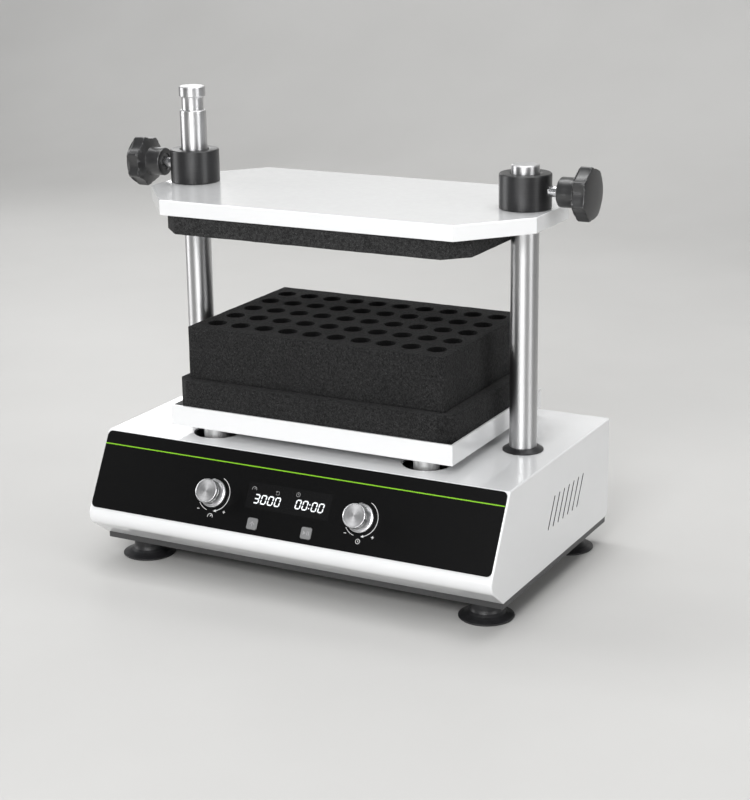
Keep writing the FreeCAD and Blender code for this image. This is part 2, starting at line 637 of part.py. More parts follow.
tray = new_body("tray_body")
tsk = sketch(tray, "tray_outline", "XY_Plane", D.tray_low)
poly(tsk, [(-D.tray_half_x, mid_y - D.tray_half_y), (D.tray_half_x, mid_y - D.tray_half_y), (D.tray_half_x, mid_y + D.tray_half_y), (-D.tray_half_x, mid_y + D.tray_half_y)])
pad(tray, tsk, D.tray_high - D.tray_low)
isk = sketch(tray, "tray_inside", "XY_Plane", D.tray_high)
ix, iy = D.tray_half_x - D.tray_wall, D.tray_half_y - D.tray_wall
poly(isk, [(-ix, mid_y - iy), (ix, mid_y - iy), (ix, mid_y + iy), (-ix, mid_y + iy)])
pocket(tray, isk, D.tray_high - D.tray_low - D.tray_wall)
hsk = sketch(tray, "tray_screw_holes", "XY_Plane", D.tray_high)
for sx in (-1, 1):
    for sy in (-1, 1):
        circle(hsk, sx * D.leg_x, mid_y + sy * D.leg_y, 3.1)
pocket(tray, hsk, D.tray_high - D.tray_low)
last = tray.Tip
body_fillet(tray, last, [lambda e: e.BoundBox.ZLength > D.tray_high.v - D.tray_low.v - 0.1 and abs(abs(e.BoundBox.Center.x) - D.tray_half_x.v) < 0.1], 1.2)
node(tray, "tray")

# ---------------------------------------------------------------- foam
def eight(sk, hx, y0, y1, c):
    poly(sk, [(-hx + c, y0), (hx - c, y0), (hx, y0 + c), (hx, y1 - c), (hx - c, y1), (-hx + c, y1), (-hx, y1 - c), (-hx, y0 + c)])


under_pad = new_body("base_foam")
sk = sketch(under_pad, "base_foam_outline", "XY_Plane", D.tray_low + D.tray_wall)
eight(sk, D.pad_half_x, mid_y - D.pad_half_y, mid_y + D.pad_half_y, D.pad_cut)
pad(under_pad, sk, D.pad_top - D.tray_low - D.tray_wall)
sk = sketch(under_pad, "base_foam_reliefs", "XY_Plane", D.tray_low + D.tray_wall + 3.4)
for sx in (-1, 1):
    for sy in (-1, 1):
        circle(sk, sx * D.leg_x, mid_y + sy * D.leg_y, 7.2)
pocket(under_pad, sk, 3.4)
node(under_pad, "base_foam_pad")

rack = new_body("rack_foam")
sk = sketch(rack, "rack_outline", "XY_Plane", D.pad_top)
poly(sk, [(-D.rack_half_x, D.rack_front), (D.rack_half_x, D.rack_front), (D.rack_half_x, D.rack_back), (-D.rack_half_x, D.rack_back)])
pad(rack, sk, D.rack_top - D.pad_top)
sk = sketch(rack, "rack_holes", "XY_Plane", D.rack_top)
for i in range(10):
    for j in range(5):
        circle(sk, (i - 4.5) * D.pitch_x, D.grid_y + (j - 2.0) * D.pitch_y, D.hole_rad)
pocket(rack, sk, D.rack_top - D.pad_top + 1)
node(rack, "tube_rack")

# ---------------------------------------------------------------- press plate, its pad and collars
press = new_body("press")
sk = sketch(press, "press_outline", "XY_Plane", D.plate_low)
poly(sk, [(-D.plate_front_half, -D.plate_half_y), (D.plate_front_half, -D.plate_half_y), (D.plate_half_x, -D.plate_end_half),
          (D.plate_half_x, D.plate_end_half), (D.plate_front_half, D.plate_half_y), (-D.plate_front_half, D.plate_half_y),
          (-D.plate_half_x, D.plate_end_half), (-D.plate_half_x, -D.plate_end_half)])
pad(press, sk, D.plate_high - D.plate_low)
sk = sketch(press, "press_holes", "XY_Plane", D.plate_high)
circle(sk, -D.post_x, 0, D.plate_hole)
circle(sk, D.post_x, 0, D.plate_hole)
for sx in (-1, 1):
    for sy in (-1, 1):
        circle(sk, sx * D.post_x, sy * 18.2, 2.1)
pocket(press, sk, D.plate_high - D.plate_low)
body_fillet(press, press.Tip, [lambda e: abs(e.BoundBox.ZMin - e.BoundBox.ZMax) < 1e-6 and isinstance(e.Curve, Part.Line)], 0.9)
node(press, "press_plate")

upper = new_body("press_foam")
sk = sketch(upper, "press_foam_outline", "XY_Plane", D.press_low)
eight(sk, D.press_half_x, -D.press_half_y, D.press_half_y, D.press_cut)
pad(upper, sk, D.plate_low - D.press_low)
node(upper, "press_pad")

for tag, sx in (("left", -1), ("right", 1)):
    c = cyl(D.collar_rad, D.collar_top - D.plate_high, sx * D.post_x, 0, D.plate_high)
    c = chamfer(c, lambda e: round_edge(e, D.collar_rad.v, D.collar_top.v), 0.8)
    side = "X" if sx > 0 else "-X"
    ctools = [cyl(D.collar_bore, 60, sx * D.post_x, 0, D.plate_high - 10), cyl(D.thread_rad, 40, sx * D.post_x, 0, D.clamp_z, side)]
    for sy in (-1, 1):
        ctools.append(cyl(2.1, 12, sx * D.post_x, sy * 18.2, D.plate_high - 1))
    node(cut(c, ctools), tag + "_collar")
collar_screws = []
for sx in (-1, 1):
    for sy in (-1, 1):
        x, y = sx * D.post_x, sy * 18.2
        collar_screws.append(fuse([cyl(2.05, 10 + D.plate_high - D.plate_low, x, y, D.plate_low), cyl(3.6, 2.4, x, y, D.plate_low - 2.4)]))
node(group(collar_screws), "collar_screws")

# ---------------------------------------------------------------- clamp screws: stud through the collar, star knob on it
# identical screws, both tight: the stud ends bear on the posts
hub = D.star_hub
for tag, sx, turn in (("left", -1, -94.4), ("right", 1, -95.0)):
    side = "X" if sx > 0 else "-X"
    tip = D.post_x + D.post_rad + 0.12
    stud = cyl(D.stud_rad, hub + D.stud_seat - tip, sx * tip, 0, D.clamp_z, side)
    doc.recompute()
    stud = chamfer(stud, lambda e: round_edge(e, D.stud_rad.v) and abs(abs(e.Curve.Center.x) - tip.v) < 0.1, 0.8)
    node(stud, tag + "_clamp_stud")
    blank = solid_of_revolution(tag + "_star_blank", [
        (D.stud_rad, 0), (D.hub_rad - 1.0, 0), (D.hub_rad, 1.0), (D.hub_rad, D.hub_len), (D.star_rad - 0.9, D.hub_len + 3.4),
        (D.star_rad, D.hub_len + 4.4), (D.star_rad, D.head_len - 2.6), (D.star_rad - 0.9, D.head_len - 1.7),
        (D.star_rad - 7.0, D.head_len - 0.75), (D.star_rad - 14.0, D.head_len - 0.2), (0, D.head_len), (0, D.stud_seat), (D.stud_rad, D.stud_seat)])
    # seven shallow finger scallops leave seven narrow lobes
    scallops = []
    for k in range(7):
        ang = math.radians(turn + k * 360.0 / 7.0)
        scallops.append(cyl(D.scallop_rad, 40, D.scallop_at * math.cos(ang), D.scallop_at * math.sin(ang), -1.0))
    knob = cut(blank, scallops)
    knob.Placement = Placement(Vector(sx * hub.v, 0, D.clamp_z.v), AXES[side])
    knob.setExpression("Placement.Base.x", (sx * hub).e)
    knob.setExpression("Placement.Base.z", D.clamp_z.e)
    node(knob, tag + "_star_knob")

# ---------------------------------------------------------------- rear: inlet, switch, fuse, power supply
inlet = fuse([cbox(40, 2.4, 26, D.inlet_x, D.rear_y + 1.2, D.port_z - 13), cbox(27.2, 20, 19.6, D.inlet_x, D.rear_y - 10, D.port_z - 9.8)])
inlet = cut(inlet, [cbox(23.4, 16.0, 15.6, D.inlet_x, D.rear_y - 5.6 + 0.0, D.port_z - 7.8)])
node(inlet, "power_inlet")
pins = [cbox(1.8, 12.4, 4.0, D.inlet_x + dx, D.rear_y - 7.4, D.port_z - 2.0 + dz) for dx, dz in ((-6.5, -1.6), (0, 2.2), (6.5, -1.6))]
node(group(pins), "inlet_pins")
housing_block = fuse([cbox(23, 1.8, 31, D.switch_x, D.rear_y + 0.9, D.port_z - 15.5), cbox(19.2, 17, 27.2, D.switch_x, D.rear_y - 8.5, D.port_z - 13.6)])
rocker_y = D.rear_y - 1.6
housing_block = cut(housing_block, [cbox(14.6, 15, 23.6, D.switch_x, D.rear_y - 4.0, D.port_z - 11.8),
                                    cyl(1.55, 18.2, D.switch_x - 9.1, rocker_y, D.port_z, "X")])
node(housing_block, "power_switch")
# rocker with two faces in a shallow V, on its own trunnions, modelled about its axis and turned to its off stop
vee = 12.0
vs, vc = math.sin(math.radians(vee)), math.cos(math.radians(vee))
rocker = common(cbox(14.0, 24, 23.2, 0, 0, -11.6), cyl(11.3, 14.0, -7.0, 0, 0, "X"))
rocker = cut(rocker, [box(20, 20, 30, -10.0, 3.4, 0, Rotation(Vector(1, 0, 0), -vee)),
                      box(20, 20, 30, -10.0, 3.4 + 30 * vs, -30 * vc, Rotation(Vector(1, 0, 0), vee)),
                      cbox(20, 30, 30, 0, -20.0, -15)])
rocker = fuse([rocker, cyl(1.5, 17.8, -8.9, 0, 0, "X")])
place(rocker, D.switch_x, rocker_y, D.port_z, Rotation(Vector(1, 0, 0), 10.0))
node(rocker, "power_rocker")
fuse_body = fuse([cyl(6.1, 26, D.fuse_x, D.rear_y - 26, D.port_z, "Y"), cyl(8.4, 2.0, D.fuse_x, D.rear_y, D.port_z, "Y"), cyl(6.4, 5.6, D.fuse_x, D.rear_y + 2, D.port_z, "Y")])
fuse_body = cut(fuse_body, [cbox(8.0, 2.0, 1.2, D.fuse_x, D.rear_y + 7.0, D.port_z - 0.6)])
node(fuse_body, "fuse_holder")
supply = fuse([cbox(112, 46, 2.0, -130.0, 95.0, base_high + 6.0), cbox(40, 36, 22, -160.0, 95.0, base_high + 8.0), cbox(30, 30, 16, -112.0, 95.0, base_high + 8.0)]
              + [cyl(3.0, 6.0, x, y, base_high) for x in (-180.0, -80.0) for y in (78.0, 112.0)])
node(supply, "power_supply")

# ---------------------------------------------------------------- check and write
doc.recompute()
for obj in doc.Objects:
    if any(flag in ("Invalid", "Error") for flag in obj.State):
        raise RuntimeError("%s %s is %s" % (obj.Name, obj.Label, obj.State))
labels = [o.Label for o in nodes]
if len(set(labels)) != len(labels):
    raise RuntimeError("labels repeat")
os.makedirs("parts", exist_ok=True)
for obj in nodes:
    shape = obj.Shape
    if shape.isNull() or not shape.isValid() or shape.Volume <= 0:
        raise RuntimeError("%s has no valid shape" % obj.Label)
for obj in nodes:
    obj.Shape.exportStep("parts/%s.step" % obj.Label)
print(len(nodes), "nodes written")
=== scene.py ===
import math

import bmesh
import bpy
import numpy as np
from mathutils import Matrix, Vector


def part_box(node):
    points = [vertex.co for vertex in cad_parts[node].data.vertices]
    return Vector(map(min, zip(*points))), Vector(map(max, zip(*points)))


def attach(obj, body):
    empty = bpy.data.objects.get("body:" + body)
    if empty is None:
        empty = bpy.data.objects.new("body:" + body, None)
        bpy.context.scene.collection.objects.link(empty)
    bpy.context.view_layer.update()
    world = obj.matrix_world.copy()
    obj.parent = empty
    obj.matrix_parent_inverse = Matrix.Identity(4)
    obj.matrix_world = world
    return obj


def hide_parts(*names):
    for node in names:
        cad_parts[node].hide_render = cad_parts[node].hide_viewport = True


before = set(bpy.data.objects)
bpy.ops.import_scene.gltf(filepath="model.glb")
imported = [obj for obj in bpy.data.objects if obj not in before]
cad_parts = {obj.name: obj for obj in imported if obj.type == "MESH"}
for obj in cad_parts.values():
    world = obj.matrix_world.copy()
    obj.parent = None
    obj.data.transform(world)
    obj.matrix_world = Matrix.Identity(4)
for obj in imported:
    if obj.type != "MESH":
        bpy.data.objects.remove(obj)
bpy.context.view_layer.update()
MM = 0.001
rng = np.random.default_rng(7)

# ------------------------------------------------------------------ material helper


class Mat:
    """A small builder for node materials on one Principled shader."""

    def __init__(self, name):
        self.m = bpy.data.materials.new(name)
        self.m.use_nodes = True
        self.nt = self.m.node_tree
        self.nt.nodes.clear()
        self.out = self.nt.nodes.new("ShaderNodeOutputMaterial")
        self.bsdf = self.nt.nodes.new("ShaderNodeBsdfPrincipled")
        self.link(self.bsdf.outputs[0], self.out.inputs[0])
        self.tc = self.nt.nodes.new("ShaderNodeTexCoord")
        self.pos = self.tc.outputs["Object"]

    def link(self, a, b):
        self.nt.links.new(a, b)
        return b

    def node(self, kind, **props):
        n = self.nt.nodes.new(kind)
        for k, v in props.items():
            setattr(n, k, v)
        return n

    def put(self, name, value):
        s = self.bsdf.inputs[name]
        if hasattr(value, "is_output"):
            self.link(value, s)
        elif isinstance(value, (tuple, list)) and len(value) == 3:
            s.default_value = (*value, 1.0) if s.type == "RGBA" else value
        else:
            s.default_value = value
        return self

    def mapping(self, scale=(1, 1, 1), rot=(0, 0, 0), loc=(0, 0, 0), kind="POINT", source=None):
        n = self.node("ShaderNodeMapping", vector_type=kind)
        self.link(source or self.pos, n.inputs["Vector"])
        n.inputs["Scale"].default_value = scale
        n.inputs["Rotation"].default_value = rot
        if kind != "VECTOR":
            n.inputs["Location"].default_value = loc
        return n.outputs[0]

    def noise(self, scale, detail=3.0, rough=0.5, vec=None, distortion=0.0):
        n = self.node("ShaderNodeTexNoise")
        self.link(vec or self.pos, n.inputs["Vector"])
        n.inputs["Scale"].default_value = scale
        n.inputs["Detail"].default_value = detail
        n.inputs["Roughness"].default_value = rough
        n.inputs["Distortion"].default_value = distortion
        return n.outputs[0]

    def voronoi(self, scale, feature="F1", vec=None, rand=1.0):
        n = self.node("ShaderNodeTexVoronoi", feature=feature)
        self.link(vec or self.pos, n.inputs["Vector"])
        n.inputs["Scale"].default_value = scale
        n.inputs["Randomness"].default_value = rand
        return n.outputs["Distance"]

    def remap(self, value, lo, hi, out_lo, out_hi):
        n = self.node("ShaderNodeMapRange")
        n.clamp = True
        self.link(value, n.inputs["Value"])
        for k, v in (("From Min", lo), ("From Max", hi), ("To Min", out_lo), ("To Max", out_hi)):
            n.inputs[k].default_value = v
        return n.outputs[0]

    def math(self, op, a, b=None):
        n = self.node("ShaderNodeMath", operation=op)
        for i, v in enumerate((a, b)):
            if v is None:
                continue
            if hasattr(v, "is_output"):
                self.link(v, n.inputs[i])
            else:
                n.inputs[i].default_value = v
        return n.outputs[0]

    def mix(self, fac, a, b):
        n = self.node("ShaderNodeMix", data_type="RGBA")
        for sock, v in ((n.inputs[0], fac), (n.inputs[6], a), (n.inputs[7], b)):
            if hasattr(v, "is_output"):
                self.link(v, sock)
            elif isinstance(v, (tuple, list)):
                sock.default_value = (*v, 1.0)
            else:
                sock.default_value = v
        return n.outputs[2]

    def edge(self, radius, samples=6):
        if not radius:
            return None
        n = self.node("ShaderNodeBevel")
        n.samples = samples
        n.inputs["Radius"].default_value = radius
        return n.outputs[0]

    def bump(self, height, strength, distance, normal=None):
        n = self.node("ShaderNodeBump")
        self.link(height, n.inputs["Height"])
        n.inputs["Strength"].default_value = strength
        n.inputs["Distance"].default_value = distance
        if normal is not None:
            self.link(normal, n.inputs["Normal"])
        self.link(n.outputs[0], self.bsdf.inputs["Normal"])
        return n.outputs[0]


def srgb(r, g, b):
    def lin(c):
        c = c / 255.0
        return c / 12.92 if c <= 0.04045 else ((c + 0.055) / 1.055) ** 2.4
    return (lin(r), lin(g), lin(b))


# ------------------------------------------------------------------ materials


def painted(name, light, dark, rough, peel=0.05, coat=0.35, edge=0.0006, clear=0.16, painted_slot_shade=False):
    """Powder coat: faint tone drift, fine orange peel, rounded edges; on request, painted shade: the inner walls of the
    louvre slots get a near-black colour that stands in for the shade inside the slots.
    """
    a = Mat(name)
    drift = a.remap(a.noise(7.0, 3.0, 0.55), 0.35, 0.65, 0.0, 1.0)
    tone = a.mix(drift, light, dark)
    if painted_slot_shade:
        # painted shade: a position mask picks the slot walls (0.2088 to 0.21108 m out from the middle, over the louvre
        # field) and gives them a near-black colour for the shade inside the slots
        sep = a.node("ShaderNodeSeparateXYZ")
        a.link(a.node("ShaderNodeNewGeometry").outputs["Position"], sep.inputs[0])
        x, y, z = (sep.outputs[i] for i in range(3))
        inside = a.math("LESS_THAN", a.math("ABSOLUTE", x), 0.21108)
        cut = a.math("MULTIPLY", inside, a.math("GREATER_THAN", a.math("ABSOLUTE", x), 0.2088))
        for value, low, high in ((y, -0.030, 0.062), (z, 0.060, 0.094)):
            cut = a.math("MULTIPLY", cut, a.math("MULTIPLY", a.math("GREATER_THAN", value, low), a.math("LESS_THAN", value, high)))
        tone = a.mix(cut, tone, (0.035, 0.035, 0.036))
    a.put("Base Color", tone)
    speck = a.noise(160.0, 2.0, 0.5)
    a.put("Roughness", a.remap(speck, 0.3, 0.7, rough - 0.02, rough + 0.03))
    a.put("Coat Weight", coat).put("Coat Roughness", clear).put("IOR", 1.5)
    if peel:
        a.bump(a.noise(850.0, 2.0, 0.5), peel, 0.0004, a.edge(edge))
    elif edge:
        a.link(a.edge(edge), a.bsdf.inputs["Normal"])
    return a.m


white_paint = painted("white_powder_coat", (0.79, 0.795, 0.80), (0.76, 0.765, 0.77), 0.24, peel=0, coat=0.8, clear=0.07, edge=0, painted_slot_shade=True)
tray_paint = painted("tray_coat", (0.80, 0.805, 0.81), (0.78, 0.785, 0.79), 0.24, peel=0, coat=0.8, clear=0.07, edge=0.0005)
press_paint = painted("press_plate_gloss", (0.80, 0.805, 0.81), (0.78, 0.785, 0.79), 0.18, peel=0, coat=1.0, clear=0.05, edge=0.0005)
dark_paint = painted("base_dark_coat", (0.046, 0.046, 0.047), (0.038, 0.038, 0.039), 0.42, peel=0.06, coat=0.1)
motor_paint = painted("motor_coat", (0.05, 0.05, 0.055), (0.035, 0.035, 0.04), 0.45, peel=0.1, coat=0.1)


def foam(name, light, dark, holes=False):
    """Open-cell foam: cells of about a millimetre, dusty grain, broad soft sheen; with holes, painted shade: the walls
    of the punched holes and a thin ring at their mouths get a near-black colour in place of the shade down the holes.
    """
    a = Mat(name)
    grain = a.math("ADD", a.math("MULTIPLY", a.noise(430.0, 4.0, 0.7), 0.5), a.math("MULTIPLY", a.noise(1250.0, 3.0, 0.7), 0.5))
    cells = a.voronoi(720.0)
    big = a.noise(30.0, 3.0, 0.5)
    fac = a.math("MULTIPLY", a.remap(grain, 0.43, 0.58, 0.0, 1.0), a.remap(big, 0.3, 0.7, 0.75, 1.0))
    base = a.mix(fac, dark, light)
    fleck = a.remap(a.noise(1100.0, 1.0, 0.4), 0.69, 0.76, 0.0, 0.85)
    tone = a.mix(fleck, base, tuple(2.4 * c for c in light))
    if holes:
        # painted shade: a position mask on the 25.71 x 32.68 mm hole grid picks the hole walls and rims and makes them
        # near black
        sep = a.node("ShaderNodeSeparateXYZ")
        a.link(a.pos, sep.inputs[0])
        u = a.math("SUBTRACT", a.math("FRACT", a.math("ADD", a.math("DIVIDE", sep.outputs[0], 0.02571), 5.0)), 0.5)
        w = a.math("SUBTRACT", a.math("FRACT", a.math("ADD", a.math("DIVIDE", a.math("SUBTRACT", sep.outputs[1], 0.0048), 0.03268), 5.5)), 0.5)
        u, w = a.math("MULTIPLY", u, 0.02571), a.math("MULTIPLY", w, 0.03268)
        far = a.math("SQRT", a.math("ADD", a.math("MULTIPLY", u, u), a.math("MULTIPLY", w, w)))
        face = a.node("ShaderNodeSeparateXYZ")
        a.link(a.node("ShaderNodeNewGeometry").outputs["True Normal"], face.inputs[0])
        upright = a.math("LESS_THAN", a.math("ABSOLUTE", face.outputs[2]), 0.6)
        reach = a.math("ADD", a.math("MULTIPLY", upright, 0.0014), 0.00905)
        wall = a.math("MULTIPLY", a.math("LESS_THAN", far, reach), a.math("LESS_THAN", a.math("ABSOLUTE", sep.outputs[0]), 0.1285))
        wall = a.math("MULTIPLY", wall, a.math("LESS_THAN", a.math("ABSOLUTE", a.math("SUBTRACT", sep.outputs[1], 0.0048)), 0.080))
        tone = a.mix(wall, tone, (0.0018, 0.0018, 0.0019))
    a.put("Base Color", tone)
    a.put("Roughness", 0.97).put("Specular IOR Level", 0.14)
    a.put("Sheen Weight", 0.04).put("Sheen Roughness", 0.6)
    h = a.math("ADD", a.math("MULTIPLY", cells, 0.9), a.math("MULTIPLY", grain, 0.9))
    a.bump(h, 0.9, 0.0013)
    return a.m


black_foam = foam("black_foam", (0.031, 0.031, 0.0313), (0.004, 0.004, 0.0042))
rack_foam = foam("rack_foam", (0.031, 0.031, 0.0313), (0.004, 0.004, 0.0042), holes=True)
top_foam = foam("press_foam", (0.050, 0.050, 0.0503), (0.009, 0.009, 0.0092))


def rubber(name, base, rough=0.55):
    a = Mat(name)
    n = a.noise(260.0, 4.0, 0.6)
    a.put("Base Color", a.mix(a.remap(n, 0.3, 0.7, 0.0, 1.0), base, tuple(1.7 * c for c in base)))
    a.put("Roughness", a.remap(a.noise(60.0, 3.0, 0.6), 0.3, 0.7, rough - 0.09, rough + 0.1))
    a.put("Specular IOR Level", 0.5)
    a.bump(a.noise(1500.0, 2.0, 0.6), 0.10, 0.0003, a.edge(0.0005))
    return a.m


foot_rubber = rubber("foot_rubber", (0.012, 0.012, 0.013), 0.42)
ring_rubber = rubber("ring_rubber", (0.011, 0.011, 0.012), 0.38)


def moulded(name, base, rough, peel=0.06, edge=0.0005, spec=0.5):
    """Moulded plastic with a fine even texture and slightly uneven gloss."""
    a = Mat(name)
    n = a.noise(14.0, 3.0, 0.5)
    a.put("Base Color", a.mix(a.remap(n, 0.3, 0.7, 0.0, 1.0), base, tuple(1.25 * c for c in base)))
    a.put("Roughness", a.remap(a.noise(60.0, 3.0, 0.6), 0.3, 0.7, rough - 0.02, rough + 0.03))
    a.put("Specular IOR Level", spec)
    if peel:
        a.bump(a.noise(1200.0, 2.0, 0.5), peel, 0.0003, a.edge(edge))
    elif edge:
        a.link(a.edge(edge), a.bsdf.inputs["Normal"])
    return a.m


knob_black = moulded("knob_black", (0.017, 0.017, 0.0175), 0.31, peel=0, edge=0, spec=0.8)
inlet_black = moulded("inlet_black", (0.014, 0.014, 0.015), 0.5, peel=0.15)
rocker_black = moulded("rocker_black", (0.012, 0.012, 0.013), 0.25)
module_black = moulded("module_black", (0.02, 0.02, 0.021), 0.5)
key_grey = moulded("key_grey", (0.160, 0.161, 0.163), 0.5, peel=0.05, edge=0.0004)


def film(name, base, rough, coat, spec=0.35):
    """Printed polycarbonate overlay: deep black with a fine velvet texture."""
    a = Mat(name)
    n = a.noise(5.0, 2.0, 0.5)
    a.put("Base Color", a.mix(a.remap(n, 0.3, 0.7, 0.0, 1.0), base, tuple(1.35 * c for c in base)))
    a.put("Roughness", a.remap(a.noise(700.0, 2.0, 0.6), 0.3, 0.7, rough - 0.03, rough + 0.05))
    a.put("Coat Weight", coat).put("Coat Roughness", 0.22).put("Specular IOR Level", spec)
    a.bump(a.noise(2200.0, 1.0, 0.5), 0.01, 0.0002)
    return a.m


black_film = film("panel_film", (0.0020, 0.0020, 0.0021), 0.36, 0.0, 0.12)
window_film = film("window_tint", (0.0062, 0.0062, 0.0064), 0.24, 0.0, 0.12)


def metal(name, base, rough, lines, line_scale=(1, 1, 1), aniso=0.0, line_strength=0.12, axis=None, tone=0.16, edge=0.0004, line_size=900.0, turn=0.0):
    """Ground or turned metal with machining lines along one direction."""
    a = Mat(name)
    v = a.mapping(scale=line_scale)
    fine = a.noise(line_size, 3.0, 0.7, vec=v)
    broad = a.noise(9.0, 3.0, 0.6)
    c = a.mix(a.remap(fine, 0.3, 0.7, 0.0, 1.0), tuple((1 - tone) * x for x in base), base)
    a.put("Base Color", a.mix(a.remap(broad, 0.35, 0.7, 0.0, 0.35), c, tuple(0.82 * x for x in base)))
    a.put("Metallic", 1.0)
    a.put("Roughness", a.remap(fine, 0.25, 0.75, rough - 0.05, rough + 0.08))
    if aniso:
        sep = a.node("ShaderNodeSeparateXYZ")
        a.link(a.node("ShaderNodeNewGeometry").outputs["Normal"], sep.inputs[0])
        level = a.math("ABSOLUTE", sep.outputs[2])
        a.put("Anisotropic", a.remap(level, 0.2, 0.6, aniso, 0.0)).put("Anisotropic Rotation", turn)
        t = a.node("ShaderNodeTangent", direction_type="RADIAL", axis=axis or "Z")
        a.link(t.outputs[0], a.bsdf.inputs["Tangent"])
    if lines:
        a.bump(fine, line_strength, 0.00015, a.edge(edge))
    elif edge:
        a.link(a.edge(edge), a.bsdf.inputs["Normal"])
    return a.m


post_steel = metal("ground_post", (0.66, 0.66, 0.665), 0.40, True, (1.0, 1.0, 0.02), 0.82, 0.05, line_size=700.0, tone=0.2, edge=0, turn=0.25)
leg_steel = metal("ground_leg", (0.90, 0.90, 0.90), 0.52, False, (0.05, 0.05, 1.0), 0.0, 0.05, tone=0.06, edge=0)
plain_steel = metal("plain_steel", (0.52, 0.52, 0.53), 0.36, True, (1, 1, 1), 0.0, 0.10)
zinc = metal("zinc_plated", (0.66, 0.67, 0.69), 0.27, True, (1, 1, 1), 0.0, 0.08, tone=0.1)
stud_steel = metal("stud_steel", (0.72, 0.72, 0.73), 0.22, True, (1, 1, 1), 0.0, 0.08, tone=0.1)
deck_alu = metal("deck_aluminium", (0.70, 0.71, 0.72), 0.38, True, (1.0, 0.04, 1.0), 0.0, 0.10)
brass = metal("brass", (0.72, 0.52, 0.24), 0.30, True, (1, 1, 1), 0.0, 0.08)
bronze = metal("sintered_bronze", (0.50, 0.33, 0.17), 0.45, True, (1, 1, 1), 0.0, 0.15)
cast = metal("cast_iron", (0.16, 0.16, 0.165), 0.62, True, (1, 1, 1), 0.0, 0.5, tone=0.3)


def board(name):
    a = Mat(name)
    n = a.noise(90.0, 2.0, 0.4)
    a.put("Base Color", a.mix(a.remap(n, 0.45, 0.55, 0.0, 1.0), (0.01, 0.11, 0.045), (0.014, 0.15, 0.06)))
    a.put("Roughness", 0.35)
    a.bump(n, 0.1, 0.0002, a.edge(0.0003))
    return a.m


board_green = board("board_green")


def collar_finish(name):
    """Black anodised turned collar: fine turning lines and a satin band of light."""
    a = Mat(name)
    v = a.mapping(scale=(0.03, 0.03, 1.0))
    fine = a.noise(1500.0, 2.0, 0.6, vec=v)
    a.put("Base Color", a.mix(a.remap(fine, 0.3, 0.7, 0.0, 1.0), (0.013, 0.013, 0.014), (0.021, 0.021, 0.022)))
    a.put("Metallic", 0.35).put("Roughness", a.remap(fine, 0.3, 0.7, 0.36, 0.44)).put("Specular IOR Level", 0.75)
    a.put("Anisotropic", 0.7).put("Anisotropic Rotation", 0.25)
    t = a.node("ShaderNodeTangent", direction_type="RADIAL", axis="Z")
    a.link(t.outputs[0], a.bsdf.inputs["Tangent"])
    a.bump(fine, 0.03, 0.0002)
    return a.m


collar_black = collar_finish("collar_black")


def spun(name, base, rough, ring_size, aniso):
    """Spun metal: rings round the piece's own Z axis, with the two bright wedges of light that they give."""
    a = Mat(name)
    sep = a.node("ShaderNodeSeparateXYZ")
    a.link(a.pos, sep.inputs[0])
    r2 = a.math("ADD", a.math("MULTIPLY", sep.outputs[0], sep.outputs[0]), a.math("MULTIPLY", sep.outputs[1], sep.outputs[1]))
    rad = a.math("SQRT", r2)
    comb = a.node("ShaderNodeCombineXYZ")
    a.link(rad, comb.inputs[0])
    a.link(a.math("MULTIPLY", sep.outputs[2], 1.0), comb.inputs[1])
    fine = a.noise(ring_size, 3.0, 0.7, vec=comb.outputs[0])
    a.put("Base Color", a.mix(a.remap(fine, 0.3, 0.7, 0.0, 1.0), tuple(0.8 * c for c in base), base))
    a.put("Metallic", 1.0).put("Roughness", a.remap(fine, 0.3, 0.7, rough - 0.05, rough + 0.06))
    a.put("Anisotropic", aniso)
    t = a.node("ShaderNodeTangent", direction_type="RADIAL", axis="Z")
    a.link(t.outputs[0], a.bsdf.inputs["Tangent"])
    a.bump(fine, 0.06, 0.00012)
    return a.m


spun_face = spun("spun_aluminium_face", (0.50, 0.50, 0.505), 0.46, 2600.0, 0.55)
bright_alu = metal("bright_aluminium", (0.70, 0.70, 0.71), 0.30, False, (1, 1, 1), tone=0.06, edge=0, line_size=45.0)


def ink(name, colour, glow=0.0):
    """Printed ink or lit segments with slightly uneven density."""
    a = Mat(name)
    n = a.noise(1500.0, 2.0, 0.6)
    a.put("Base Color", a.mix(a.remap(n, 0.3, 0.7, 0.0, 1.0), tuple(0.86 * c for c in colour), colour))
    a.put("Roughness", 0.45)
    if glow:
        a.put("Emission Color", colour).put("Emission Strength", glow)
    a.bump(n, 0.05, 0.0001)
    return a.m


white_ink = ink("white_ink", (0.72, 0.72, 0.72))
grey_ink = ink("grey_ink", (0.34, 0.34, 0.34))
key_ink = ink("key_ink", (0.33, 0.33, 0.335))
lime_ink = ink("lime_ink", srgb(120, 184, 0), 0.0)
digit_light = ink("digit_light", (0.86, 0.89, 0.91), 0.30)

